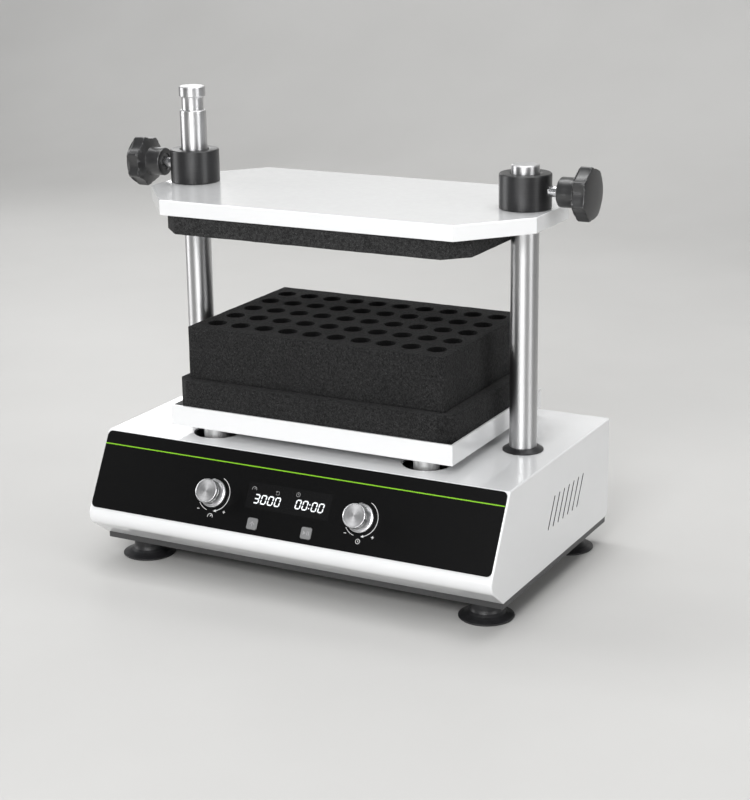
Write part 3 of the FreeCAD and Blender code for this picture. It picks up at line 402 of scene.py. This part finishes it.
node_material = {
    "base_plate": dark_paint, "foot_screws": zinc, "upper_housing": white_paint, "housing_screws": zinc,
    "control_panel": black_film, "display_window": window_film, "display_module": module_black, "control_board": board_green,
    "board_spacers": brass, "speed_encoder": plain_steel, "time_encoder": plain_steel, "speed_shaft": deck_alu,
    "time_shaft": deck_alu, "set_button": key_grey, "start_button": key_grey, "button_switches": inlet_black,
    "drive_deck": deck_alu, "deck_spacers": plain_steel, "left_post": post_steel, "right_post": post_steel,
    "post_bolts": zinc, "post_flanges": ring_rubber, "motor": motor_paint, "motor_shaft": plain_steel,
    "eccentric_crank": plain_steel, "counterweight": cast, "eccentric_bearing": plain_steel, "carriage_plate": deck_alu,
    "carriage_bushes": bronze, "idler_bearings": deck_alu, "idler_crank_front_left": plain_steel,
    "idler_crank_front_right": plain_steel, "idler_crank_rear_left": plain_steel, "idler_crank_rear_right": plain_steel,
    "tray_legs": leg_steel, "tray": tray_paint, "tray_screws": zinc, "press_plate": press_paint,
    "left_collar": collar_black, "right_collar": collar_black, "collar_screws": zinc, "left_clamp_stud": stud_steel,
    "right_clamp_stud": stud_steel, "power_inlet": inlet_black, "inlet_pins": brass, "power_switch": inlet_black,
    "power_rocker": rocker_black, "fuse_holder": inlet_black, "power_supply": board_green,
    "foot_front_left": foot_rubber, "foot_front_right": foot_rubber, "foot_rear_left": foot_rubber, "foot_rear_right": foot_rubber,
    "base_foam_pad": black_foam, "tube_rack": black_foam, "press_pad": top_foam, "speed_knob": bright_alu, "time_knob": bright_alu,
    "left_star_knob": knob_black, "right_star_knob": knob_black,
}
for name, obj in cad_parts.items():
    obj.data.materials.clear()
    obj.data.materials.append(node_material[name])
    for p in obj.data.polygons:
        p.use_smooth = True
    if hasattr(obj.data, "set_sharp_from_angle"):
        obj.data.set_sharp_from_angle(angle=math.radians(32))

# ------------------------------------------------------------------ mesh helpers


def add_object(name, verts, faces, material, matrix=None, smooth=True, sharp=32.0, weld=1e-6):
    me = bpy.data.meshes.new(name)
    me.from_pydata([tuple(v) for v in verts], [], [tuple(f) for f in faces])
    if weld:
        bm = bmesh.new()
        bm.from_mesh(me)
        bmesh.ops.remove_doubles(bm, verts=bm.verts, dist=weld)
        bmesh.ops.recalc_face_normals(bm, faces=bm.faces)
        bm.to_mesh(me)
        bm.free()
    me.update()
    me.materials.append(material)
    for p in me.polygons:
        p.use_smooth = smooth
    if smooth:
        me.set_sharp_from_angle(angle=math.radians(sharp))
    obj = bpy.data.objects.new(name, me)
    bpy.context.scene.collection.objects.link(obj)
    if matrix is not None:
        obj.matrix_world = matrix
    bpy.context.view_layer.update()
    return obj


def bevel(obj, width, segments=3, angle=40.0):
    m = obj.modifiers.new("bevel", "BEVEL")
    m.width, m.segments, m.limit_method, m.angle_limit = width, segments, "ANGLE", math.radians(angle)
    m.use_clamp_overlap = True
    bpy.context.view_layer.update()
    dg = bpy.context.evaluated_depsgraph_get()
    me = bpy.data.meshes.new_from_object(obj.evaluated_get(dg))
    mats = list(obj.data.materials)
    obj.modifiers.clear()
    old = obj.data
    obj.data = me
    bpy.data.meshes.remove(old)
    for i, mat in enumerate(mats):
        if i < len(me.materials):
            me.materials[i] = mat
        else:
            me.materials.append(mat)
    for p in me.polygons:
        p.use_smooth = True
    me.set_sharp_from_angle(angle=math.radians(50))
    return obj


def lathe(name, profile, material, matrix, steps=128, radius_at=None):
    """Turned piece: profile of (radius, height) in metres round its own Z axis. radius_at(angle, height, radius) may change a radius."""
    verts, faces = [], []
    n = len(profile)
    for k in range(steps):
        t = 2 * math.pi * k / steps
        for r, z in profile:
            rr = radius_at(t, z, r) if radius_at else r
            verts.append((rr * math.cos(t), rr * math.sin(t), z))
    for k in range(steps):
        k2 = (k + 1) % steps
        for i in range(n - 1):
            if profile[i][0] < 1e-9 and profile[i + 1][0] < 1e-9:
                continue
            a, b, c, d = k * n + i, k2 * n + i, k2 * n + i + 1, k * n + i + 1
            if profile[i][0] < 1e-9:
                faces.append((a, c, d))
            elif profile[i + 1][0] < 1e-9:
                faces.append((a, b, d))
            else:
                faces.append((a, b, c, d))
    return add_object(name, verts, faces, material, matrix, sharp=38.0, weld=1e-7)


def rounded(points, radius=0.0005, steps=3):
    """Rounds the corners of an open profile."""
    out = [points[0]]
    for i in range(1, len(points) - 1):
        p, a, b = Vector(points[i]), Vector(points[i - 1]), Vector(points[i + 1])
        da, db = (a - p), (b - p)
        la, lb = da.length, db.length
        if la < 1e-9 or lb < 1e-9:
            continue
        r = min(radius, la * 0.45, lb * 0.45)
        s, e = p + da / la * r, p + db / lb * r
        for k in range(steps + 1):
            t = k / steps
            q = s.lerp(p, t).lerp(p.lerp(e, t), t)
            out.append((q.x, q.y))
    out.append(points[-1])
    return out


# frame of the inclined front: x right, y up the incline, z outward; origin on the top bend
INCLINE = math.radians(28.5)
PANEL = Matrix.Translation((0, -113.2 * MM, 127.1 * MM)) @ Matrix.Rotation(math.pi / 2 - INCLINE, 4, "X")

# ------------------------------------------------------------------ foam


def smooth_noise(co, scale, seed):
    """Cheap smooth noise from a few sine waves."""
    r = np.random.default_rng(seed)
    out = np.zeros(len(co))
    for _ in range(9):
        k = r.normal(size=3) * scale
        out += np.sin(co @ k + r.uniform(0, 2 * math.pi))
    return out / 3.0


def roughen(obj, amount, scale, seed, low, high):
    """Soft unevenness of a cut foam face, kept inside the box low..high."""
    me = obj.data
    co = np.empty(len(me.vertices) * 3, np.float32)
    no = np.empty(len(me.vertices) * 3, np.float32)
    me.vertices.foreach_get("co", co)
    me.vertices.foreach_get("normal", no)
    co, no = co.reshape(-1, 3).astype(float), no.reshape(-1, 3).astype(float)
    d = smooth_noise(co, scale, seed) * 0.7 + smooth_noise(co, scale * 4.5, seed + 1) * 0.3
    co = co + no * (amount * (d - 1.2))[:, None]
    co = np.minimum(np.maximum(co, low), high)
    me.vertices.foreach_set("co", co.astype(np.float32).ravel())
    me.update()


def prism_grid(name, outline, z0, z1, material, cell, edge_width):
    """Closed prism over a convex outline with gridded faces, so that its surface can be uneven."""
    bm = bmesh.new()
    n = len(outline)
    bottom = [bm.verts.new((x, y, z0)) for x, y in outline]
    top = [bm.verts.new((x, y, z1)) for x, y in outline]
    bm.faces.new(list(reversed(bottom)))
    bm.faces.new(top)
    for i in range(n):
        bm.faces.new((bottom[i], bottom[(i + 1) % n], top[(i + 1) % n], top[i]))
    lo = [min(p[k] for p in outline) for k in (0, 1)] + [z0]
    hi = [max(p[k] for p in outline) for k in (0, 1)] + [z1]
    for axis in range(3):
        count = max(1, int(round((hi[axis] - lo[axis]) / cell)))
        for k in range(1, count):
            at = [0, 0, 0]
            at[axis] = lo[axis] + (hi[axis] - lo[axis]) * k / count
            nrm = [0, 0, 0]
            nrm[axis] = 1
            bmesh.ops.bisect_plane(bm, geom=bm.verts[:] + bm.edges[:] + bm.faces[:], plane_co=at, plane_no=nrm)
    me = bpy.data.meshes.new(name)
    bm.to_mesh(me)
    bm.free()
    me.materials.append(material)
    obj = bpy.data.objects.new(name, me)
    bpy.context.scene.collection.objects.link(obj)
    bpy.context.view_layer.update()
    bevel(obj, edge_width, 3, 30.0)
    return obj


def octagon(hx, y0, y1, c):
    return [(-hx + c, y0), (hx - c, y0), (hx, y0 + c), (hx, y1 - c), (hx - c, y1), (-hx + c, y1), (-hx, y1 - c), (-hx, y0 + c)]


def scaled(points):
    return [(x * MM, y * MM) for x, y in points]


mid_y = 2.85
base_pad = prism_grid("base_pad_foam", scaled(octagon(145.6, mid_y - 98.0, mid_y + 98.0, 13.5)), 138.35 * MM, 180.0 * MM, black_foam, 0.009, 0.0014)
lo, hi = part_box("base_foam_pad")
roughen(base_pad, 0.00016, 130.0, 3, np.array(lo) + [0, 0, 5e-5], np.array(hi))
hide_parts("base_foam_pad")
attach(base_pad, "carriage")

upper_pad = prism_grid("press_pad_foam", scaled(octagon(157.5, -96.8, 96.8, 21.0)), 320.6 * MM, 338.2 * MM, top_foam, 0.009, 0.0016)
lo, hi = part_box("press_pad")
roughen(upper_pad, 0.00018, 120.0, 11, np.array(lo), np.array(hi))
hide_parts("press_pad")
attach(upper_pad, "press")


def rack_mesh():
    """Foam block with fifty through holes: every cell is a ring of quads round its hole."""
    px, py, gy, r = 25.71, 32.68, 4.8, 8.8
    z0, z1 = 180.0, 230.8
    hx, y0, y1 = 134.3, -84.2, 95.7
    verts, faces = [], []

    def v(x, y, z):
        verts.append((x * MM, y * MM, z * MM))
        return len(verts) - 1

    side = 8
    ring = 4 * side

    def square_points(cx, cy):
        pts = []
        for i in range(side):
            pts.append((cx - px / 2 + px * i / side, cy - py / 2))
        for i in range(side):
            pts.append((cx + px / 2, cy - py / 2 + py * i / side))
        for i in range(side):
            pts.append((cx + px / 2 - px * i / side, cy + py / 2))
        for i in range(side):
            pts.append((cx - px / 2, cy + py / 2 - py * i / side))
        return pts

    levels = [z1 - (z1 - z0) * k / 7.0 for k in range(8)]
    for i in range(10):
        for j in range(5):
            cx, cy = (i - 4.5) * px, gy + (j - 2.0) * py
            sq = square_points(cx, cy)
            cir = []
            for a, b in sq:
                t = math.atan2(b - cy, a - cx)
                cir.append((cx + r * math.cos(t), cy + r * math.sin(t)))
            for z, flip in ((z1, False), (z0, True)):
                o = [v(a, b, z) for a, b in sq]
                m = [v(a + (c - a) * 0.62, b + (d - b) * 0.62, z) for (a, b), (c, d) in zip(sq, cir)]
                n = [v(c, d, z) for c, d in cir]
                for k in range(ring):
                    k2 = (k + 1) % ring
                    for p, q_ in ((o, m), (m, n)):
                        f = (p[k], p[k2], q_[k2], q_[k])
                        faces.append(tuple(reversed(f)) if flip else f)
            walls = [[v(c, d, z) for c, d in cir] for z in levels]
            for a, b in zip(walls, walls[1:]):
                for k in range(ring):
                    k2 = (k + 1) % ring
                    faces.append((a[k], a[k2], b[k2], b[k]))
    xs = [-hx] + [(-5.0 + i / side) * px for i in range(10 * side + 1)] + [hx]
    ys = [y0] + [gy + (-2.5 + j / side) * py for j in range(5 * side + 1)] + [y1]

    def strip(x_list, y_list, z, flip):
        grid = [[v(x, y, z) for y in y_list] for x in x_list]
        for a in range(len(x_list) - 1):
            for b in range(len(y_list) - 1):
                f = (grid[a][b], grid[a + 1][b], grid[a + 1][b + 1], grid[a][b + 1])
                faces.append(tuple(reversed(f)) if flip else f)

    for z, flip in ((z1, False), (z0, True)):
        strip(xs, ys[:2], z, flip)
        strip(xs, ys[-2:], z, flip)
        strip(xs[:2], ys[1:-1], z, flip)
        strip(xs[-2:], ys[1:-1], z, flip)
    zs = [z0 + (z1 - z0) * k / 8.0 for k in range(9)]
    for y, flip in ((y0, False), (y1, True)):
        grid = [[v(x, y, z) for z in zs] for x in xs]
        for a in range(len(xs) - 1):
            for b in range(len(zs) - 1):
                f = (grid[a][b], grid[a + 1][b], grid[a + 1][b + 1], grid[a][b + 1])
                faces.append(tuple(reversed(f)) if flip else f)
    for x, flip in ((-hx, True), (hx, False)):
        grid = [[v(x, y, z) for z in zs] for y in ys]
        for a in range(len(ys) - 1):
            for b in range(len(zs) - 1):
                f = (grid[a][b], grid[a + 1][b], grid[a + 1][b + 1], grid[a][b + 1])
                faces.append(tuple(reversed(f)) if flip else f)
    return verts, faces


verts, faces = rack_mesh()
rack = add_object("rack_foam", verts, faces, rack_foam, weld=2e-5)
bevel(rack, 0.0009, 2, 50.0)
lo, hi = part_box("tube_rack")
roughen(rack, 0.00012, 140.0, 21, np.array(lo), np.array(hi))
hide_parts("tube_rack")
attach(rack, "carriage")

# ------------------------------------------------------------------ star knobs: one moulding each, seven shallow scallops


def star(name, hub_x, sign, turn, body, node):
    R, d = 24.0, 44.4
    prof = [(5.05, 1.5), (7.5, 1.5), (7.9, 1.35), (8.15, 0.9), (8.25, 0.25), (8.5, 0.0), (11.6, 0.0), (12.6, 0.15), (13.3, 0.75), (13.5, 1.6), (13.5, 8.0), (13.5, 14.6), (13.7, 15.3), (14.6, 15.75),
            (18.0, 16.9), (21.5, 18.1), (23.4, 18.85), (24.2, 19.4), (24.5, 20.2), (24.5, 22.5), (24.5, 26.0), (24.5, 28.9),
            (24.3, 29.7), (23.7, 30.35), (22.4, 30.75), (20.0, 31.1), (17.5, 31.45), (14.0, 31.75), (10.5, 32.0), (6.0, 32.14), (2.0, 32.19), (0.0, 32.2)]

    def radius_at(t, z, r):
        r_mm = r / MM
        if r_mm < 14.0:
            return r
        a = (t - math.radians(turn) + math.pi / 7) % (2 * math.pi / 7) - math.pi / 7
        s = d * math.cos(a) - math.sqrt(max(R * R - (d * math.sin(a)) ** 2, 0.0)) if abs(math.sin(a)) * d < R else 99.0
        # the scallop runs out towards the middle of the domed face
        lift = 0.0
        zz = z / MM
        if zz > 29.0:
            lift = max(0.0, (24.5 - r_mm)) * 0.9
        if zz < 19.4:
            lift = max(0.0, (24.5 - r_mm)) * 0.9
        s = s + lift
        k = 0.7
        h = max(k - abs(r_mm - s), 0.0) / k
        return (min(r_mm, s) - h * h * k * 0.25) * MM

    mat = Matrix.Translation((hub_x * MM, 0, 369.3 * MM)) @ Matrix.Rotation(sign * math.pi / 2, 4, "Y")
    obj = lathe(name, [(r * MM, z * MM) for r, z in prof], knob_black, mat, steps=7 * 48, radius_at=radius_at)
    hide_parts(node)
    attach(obj, body)
    return obj


star("left_star_grip", -207.6, -1, -94.4, "left_star", "left_star_knob")
star("right_star_grip", 207.6, 1, -95.0, "right_star", "right_star_knob")

# ------------------------------------------------------------------ guide posts and clamp collars, turned


def post(name, x, top, grooved, node):
    prof = [(4.2, 46.0), (12.2, 46.0), (12.7, 46.5)]
    prof += [(12.7, 46.5 + (410.0 - 46.5) * k / 12.0) for k in range(1, 12)] if grooved else [(12.7, 46.5 + 330.0 * k / 11.0) for k in range(1, 12)]
    if grooved:
        prof += rounded([(12.7, 411.0), (12.7, 421.1), (11.9, 421.9), (10.45, 421.9), (10.45, 434.4), (11.9, 434.4), (12.7, 435.2), (12.7, 438.0)], 0.25, 3)
    prof += rounded([(12.7, top - 3.0), (12.7, top - 1.0), (11.7, top), (8.0, top)], 0.3, 4) + [(4.0, top), (0.0, top)]
    obj = lathe(name, [(r * MM, z * MM) for r, z in prof], post_steel, Matrix.Translation((x * MM, 0, 0)), steps=224)
    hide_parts(node)
    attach(obj, "frame")


def collar(name, x, node):
    prof = rounded([(12.75, 352.6), (22.9, 352.6), (23.7, 353.4), (23.7, 356.0)], 0.25, 3)
    prof += [(23.7, 352.6 + 31.6 * k / 8.0) for k in range(1, 7)]
    prof += rounded([(23.7, 381.5), (23.7, 383.3), (22.8, 384.2), (18.0, 384.2), (14.6, 384.2), (13.6, 383.4), (12.75, 381.8), (12.75, 376.0)], 0.3, 4)
    prof += [(12.75, 365.0), (12.75, 352.6)]
    obj = lathe(name, [(r * MM, z * MM) for r, z in prof], collar_black, Matrix.Translation((x * MM, 0, 0)), steps=192)
    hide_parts(node)
    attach(obj, "press")


post("left_post_turned", -173.8, 444.6, True, "left_post")
post("right_post_turned", 173.8, 391.8, False, "right_post")
collar("left_collar_turned", -173.8, "left_collar")
collar("right_collar_turned", 173.8, "right_collar")

# ------------------------------------------------------------------ dials: smooth side with a groove under the cap, spun face


def dial(tag, x, body, node):
    s = 44.6
    here = PANEL @ Matrix.Translation((x * MM, -s * MM, 0))
    side = rounded([(4.4, 1.5), (12.9, 1.5), (13.3, 1.9), (13.3, 4.0), (12.8, 4.5), (11.5, 4.6), (11.25, 5.0), (11.2, 5.7)], 0.25)
    side += [(11.18, 6.3), (11.15, 9.0), (11.15, 12.6), (11.1, 12.9), (10.75, 13.05), (10.75, 13.45), (11.05, 13.55), (11.2, 13.7), (11.25, 13.9), (11.25, 14.4)]
    side += [(11.25, 15.8), (11.25, 16.2), (11.2, 16.45), (11.05, 16.65), (10.85, 16.76), (10.6, 16.8), (10.4, 16.76), (10.25, 16.6), (10.2, 16.45)]
    a = lathe(tag + "_dial_side", [(r * MM, z * MM) for r, z in side], bright_alu, here, steps=240)
    face = [(10.2, 16.45), (8.0, 16.44), (6.0, 16.43), (3.0, 16.42), (0.6, 16.41), (0.0, 16.41)]
    b = lathe(tag + "_dial_face", [(r * MM, z * MM) for r, z in face], spun_face, here, steps=96)
    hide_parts(node)
    for o in (a, b):
        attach(o, body)


dial("speed", -78.5, "speed_dial", "speed_knob")
dial("time", 76.2, "time_dial", "time_knob")

# ------------------------------------------------------------------ printed marks, as thin raised ink on the overlay


class Ink:
    """Collects flat strokes in panel coordinates (x right, s down the incline) into one thin mesh."""

    def __init__(self, low, high):
        self.low, self.high = low, high
        self.verts, self.faces = [], []

    def poly(self, pts):
        n = len(pts)
        area = sum(pts[i][0] * pts[(i + 1) % n][1] - pts[(i + 1) % n][0] * pts[i][1] for i in range(n))
        if area > 0:
            pts = pts[::-1]
        base = len(self.verts)
        for x, s in pts:
            self.verts.append((x * MM, -s * MM, self.low * MM))
        for x, s in pts:
            self.verts.append((x * MM, -s * MM, self.high * MM))
        self.faces.append([base + n + i for i in range(n)])
        self.faces.append([base + n - 1 - i for i in range(n)])
        for i in range(n):
            j = (i + 1) % n
            self.faces.append([base + i, base + j, base + n + j, base + n + i])

    def stroke(self, pts, width, closed=False):
        n = len(pts)
        if closed:
            pts = pts + [pts[0], pts[1]]
            n += 2
        left, right = [], []
        for i in range(n):
            a = Vector(pts[max(i - 1, 0)])
            b = Vector(pts[min(i + 1, n - 1)])
            if closed and i in (0, n - 1):
                a, b = Vector(pts[i - 1 if i else n - 3]), Vector(pts[(i + 1) if i < n - 1 else 2])
            d = (b - a).normalized()
            nrm = Vector((-d.y, d.x)) * (width / 2)
            p = Vector(pts[i])
            left.append(tuple(p + nrm))
            right.append(tuple(p - nrm))
        last = n - 2 if closed else n - 1
        for i in range(last):
            self.poly([left[i], left[i + 1], right[i + 1], right[i]])

    def arc(self, cx, cs, r, a0, a1, width, steps=None):
        """Angles in degrees: 0 to the right, 90 up the incline."""
        steps = steps or max(6, int(abs(a1 - a0) / 5))
        pts = [(cx + r * math.cos(math.radians(a0 + (a1 - a0) * k / steps)), cs - r * math.sin(math.radians(a0 + (a1 - a0) * k / steps)))
               for k in range(steps + 1)]
        self.stroke(pts, width)

    def make(self, name, material, body="frame", matrix=PANEL):
        o = add_object(name, self.verts, self.faces, material, matrix, smooth=False, weld=0)
        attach(o, body)
        return o


marks = Ink(1.0, 1.06)
for kx in (-78.5, 76.2):
    ks = 44.4
    marks.arc(kx, ks, 16.6, 66, -70, 0.55, 40)
    marks.arc(kx, ks, 16.6, -104, -142, 0.5, 12)
    marks.arc(kx, ks, 13.7, 113, 99, 0.6, 5)
    # arrow head at the lower end of the long arc
    t = math.radians(-74)
    tip = (kx + 16.6 * math.cos(t - 0.10), ks - 16.6 * math.sin(t - 0.10))
    a1 = (kx + 17.9 * math.cos(t + 0.07), ks - 17.9 * math.sin(t + 0.07))
    a2 = (kx + 15.4 * math.cos(t + 0.07), ks - 15.4 * math.sin(t + 0.07))
    marks.poly([tip, a1, a2])
for mx, ms in ((-91.8, 60.4), (63.3, 59.6)):
    marks.stroke([(mx - 1.2, ms), (mx + 1.2, ms)], 0.6)
for mx, ms in ((-63.9, 60.1), (91.1, 59.7)):
    marks.stroke([(mx - 1.4, ms), (mx + 1.4, ms)], 0.6)
    marks.stroke([(mx, ms - 1.4), (mx, ms - 0.31)], 0.6)
    marks.stroke([(mx, ms + 0.31), (mx, ms + 1.4)], 0.6)


def gauge(target, cx, cs, r, w):
    """Plain gauge symbol: open arc, pointer and ticks."""
    target.arc(cx, cs + r * 0.25, r, 200, -20, w, 24)
    target.stroke([(cx, cs + r * 0.25), (cx + r * 0.55, cs - r * 0.38)], w * 1.1)
    for ang in (150, 90, 30):
        c, s_ = math.cos(math.radians(ang)), math.sin(math.radians(ang))
        target.stroke([(cx + 0.70 * r * c, cs + r * 0.25 - 0.70 * r * s_), (cx + 0.95 * r * c, cs + r * 0.25 - 0.95 * r * s_)], w * 0.8)


def clock(target, cx, cs, r, w):
    """Plain clock symbol: ring and two hands."""
    target.arc(cx, cs, r, 0, 360, w, 32)
    target.stroke([(cx, cs), (cx, cs - 0.62 * r)], w)
    target.stroke([(cx, cs), (cx + 0.48 * r, cs + 0.25 * r)], w)


gauge(marks, -77.6, 65.3, 2.6, 0.42)
clock(marks, 77.5, 65.3, 2.1, 0.42)
marks.make("printed_marks", white_ink)

stripe = Ink(1.0, 1.09)
stripe.poly([(-209.45, 12.97), (209.45, 12.97), (209.45, 14.0), (-209.45, 14.0)])
stripe.make("lime_stripe", lime_ink)

# window rim print and display contents
small = Ink(1.0, 1.05)
gauge(small, -37.4, 33.6, 2.3, 0.34)
clock(small, 8.8, 32.8, 1.9, 0.34)
small.arc(-12.4, 34.6, 1.7, 150, -150, 0.34, 22)
small.poly([(-14.7, 33.2), (-13.0, 32.6), (-13.3, 34.5)])
small.make("display_symbols", grey_ink)

SEGMENTS = {"0": "abcdef", "1": "bc", "2": "abged", "3": "abgcd", "4": "fgbc", "5": "afgcd", "6": "afgedc", "7": "abc", "8": "abcdefg", "9": "abcdfg"}


def seven(target, ch, x, s, w, h, t, lean):
    """One seven-segment figure; x, s is its lower left corner."""
    def p(u, v):
        return (x + u + lean * v, s - v)
    g = 0.16
    half = h / 2

    def bar(u0, v0, u1, v1):
        d = Vector((u1 - u0, v1 - v0)).normalized()
        n = Vector((-d.y, d.x)) * (t / 2)
        a, b = Vector((u0, v0)) + d * g, Vector((u1, v1)) - d * g
        e = d * (t / 2)
        pts = [a, a + e + n, b - e + n, b, b - e - n, a + e - n]
        target.poly([p(q.x, q.y) for q in pts])

    x0, x1 = t / 2, w - t / 2
    y0, y1 = t / 2, h - t / 2
    lines = {"a": (x0, y1, x1, y1), "g": (x0, half, x1, half), "d": (x0, y0, x1, y0), "f": (x0, half, x0, y1), "b": (x1, half, x1, y1),
             "e": (x0, y0, x0, half), "c": (x1, y0, x1, half)}
    for seg in SEGMENTS[ch]:
        bar(*lines[seg])


digits = Ink(1.0, 1.05)
for k, ch in enumerate("3000"):
    seven(digits, ch, -36.3 + 7.3 * k, 47.2, 5.8, 9.0, 1.15, 0.13)
for ch, x in (("0", 7.3), ("0", 14.35), ("0", 23.9), ("0", 30.95)):
    seven(digits, ch, x, 46.1, 5.7, 9.0, 1.15, 0.13)
for v in (2.4, 6.0):
    cx, cs = 21.75 + 0.13 * v, 46.1 - v
    digits.poly([(cx - 0.55, cs - 0.55), (cx + 0.55, cs - 0.55), (cx + 0.55, cs + 0.55), (cx - 0.55, cs + 0.55)])
digits.make("display_figures", digit_light)

# key symbols: an up arrow and a start-pause sign, pressed with the keys
key_a = Ink(1.4, 1.44)
kx, ks = -31.9, 66.0
key_a.stroke([(kx - 2.2, ks + 0.6), (kx, ks - 2.0), (kx + 2.2, ks + 0.6)], 0.6)
key_a.stroke([(kx, ks - 1.5), (kx, ks + 2.6)], 0.6)
key_a.make("set_key_symbol", key_ink, "set_key")
key_b = Ink(1.4, 1.44)
kx, ks = 24.9, 66.0
key_b.poly([(kx - 3.0, ks - 2.0), (kx - 0.2, ks), (kx - 3.0, ks + 2.0)])
key_b.stroke([(kx + 1.1, ks - 1.9), (kx + 1.1, ks + 1.9)], 0.75)
key_b.stroke([(kx + 2.8, ks - 1.9), (kx + 2.8, ks + 1.9)], 0.75)
key_b.make("start_key_symbol", key_ink, "start_key")

# ------------------------------------------------------------------ stage: pale floor, soft studio light

floor_mat = Mat("studio_floor")
n = floor_mat.noise(3.0, 4.0, 0.5)
floor_mat.put("Base Color", floor_mat.mix(floor_mat.remap(n, 0.3, 0.7, 0.0, 1.0), (0.52, 0.516, 0.505), (0.55, 0.546, 0.535)))
floor_mat.put("Roughness", 0.6).put("Specular IOR Level", 0.3)

verts, faces = [], []
xs = [-4.0 + 8.0 * i / 12 for i in range(13)]
path = [(-3.0, 0.0), (1.6, 0.0)]
path += [(1.6 + 1.2 * math.sin(t), 1.2 - 1.2 * math.cos(t)) for t in [math.pi / 2 * k / 14 for k in range(1, 15)]] + [(2.8, 4.0)]
for x in xs:
    for y, z in path:
        verts.append((x, y, z))
m = len(path)
for i in range(len(xs) - 1):
    for j in range(m - 1):
        faces.append((i * m + j, (i + 1) * m + j, (i + 1) * m + j + 1, i * m + j + 1))
floor = add_object("studio_sweep", verts, faces, floor_mat.m, sharp=60.0)


def area(name, loc, target, size, power, colour=(1, 1, 1)):
    d = bpy.data.lights.new(name, "AREA")
    d.shape, d.size, d.size_y, d.energy, d.color = "RECTANGLE", size[0], size[1], power, colour
    o = bpy.data.objects.new(name, d)
    bpy.context.scene.collection.objects.link(o)
    o.location = loc
    o.rotation_euler = (Vector(target) - Vector(loc)).to_track_quat("-Z", "Y").to_euler()
    return o


area("key", (0.38, -2.0, 1.35), (0, 0, 0.2), (0.9, 0.8), 31)
area("top", (0.1, 0.10, 1.45), (0, 0, 0.1), (1.5, 1.1), 13)
area("right", (2.05, -0.45, 0.8), (0, 0, 0.2), (0.9, 1.1), 12)
area("left", (-1.95, -0.60, 0.75), (0, 0, 0.25), (1.0, 1.3), 17)
area("low", (0.3, -1.6, 0.13), (0, -0.1, 0.06), (1.6, 0.2), 6)
area("back_left", (-1.2, 1.3, 1.0), (0, 0, 0.25), (0.4, 1.0), 3)
area("backdrop", (-1.3, 0.7, 2.9), (-1.5, 2.9, 0.9), (5.0, 0.8), 72)

world = bpy.data.worlds.new("studio")
bpy.context.scene.world = world
world.use_nodes = True
bg = world.node_tree.nodes["Background"]
bg.inputs[0].default_value = (0.60, 0.62, 0.65, 1.0)
bg.inputs[1].default_value = 0.20

# ------------------------------------------------------------------ camera at the photograph's angle
az, el, roll = math.radians(27.9701744), math.radians(16.5794113), math.radians(-0.8051644)
back = Vector((math.sin(az) * math.cos(el), -math.cos(az) * math.cos(el), math.sin(el)))
right0 = Vector((math.cos(az), math.sin(az), 0.0))
up0 = back.cross(right0)
right = math.cos(roll) * right0 + math.sin(roll) * up0
up = -math.sin(roll) * right0 + math.cos(roll) * up0
cam_data = bpy.data.cameras.new("camera")
cam_data.lens = 84.319
cam_data.sensor_width = 36.0
cam_data.sensor_fit = "AUTO"
cam_data.clip_start, cam_data.clip_end = 0.05, 30.0
cam = bpy.data.objects.new("camera", cam_data)
bpy.context.scene.collection.objects.link(cam)
place = Matrix((
    (right.x, up.x, back.x, 0.8246741519),
    (right.y, up.y, back.y, -1.51536211481),
    (right.z, up.z, back.z, 0.66581543321),
    (0, 0, 0, 1)))
cam.matrix_world = place
bpy.context.scene.camera = cam
bpy.context.scene.view_settings.view_transform = "Standard"
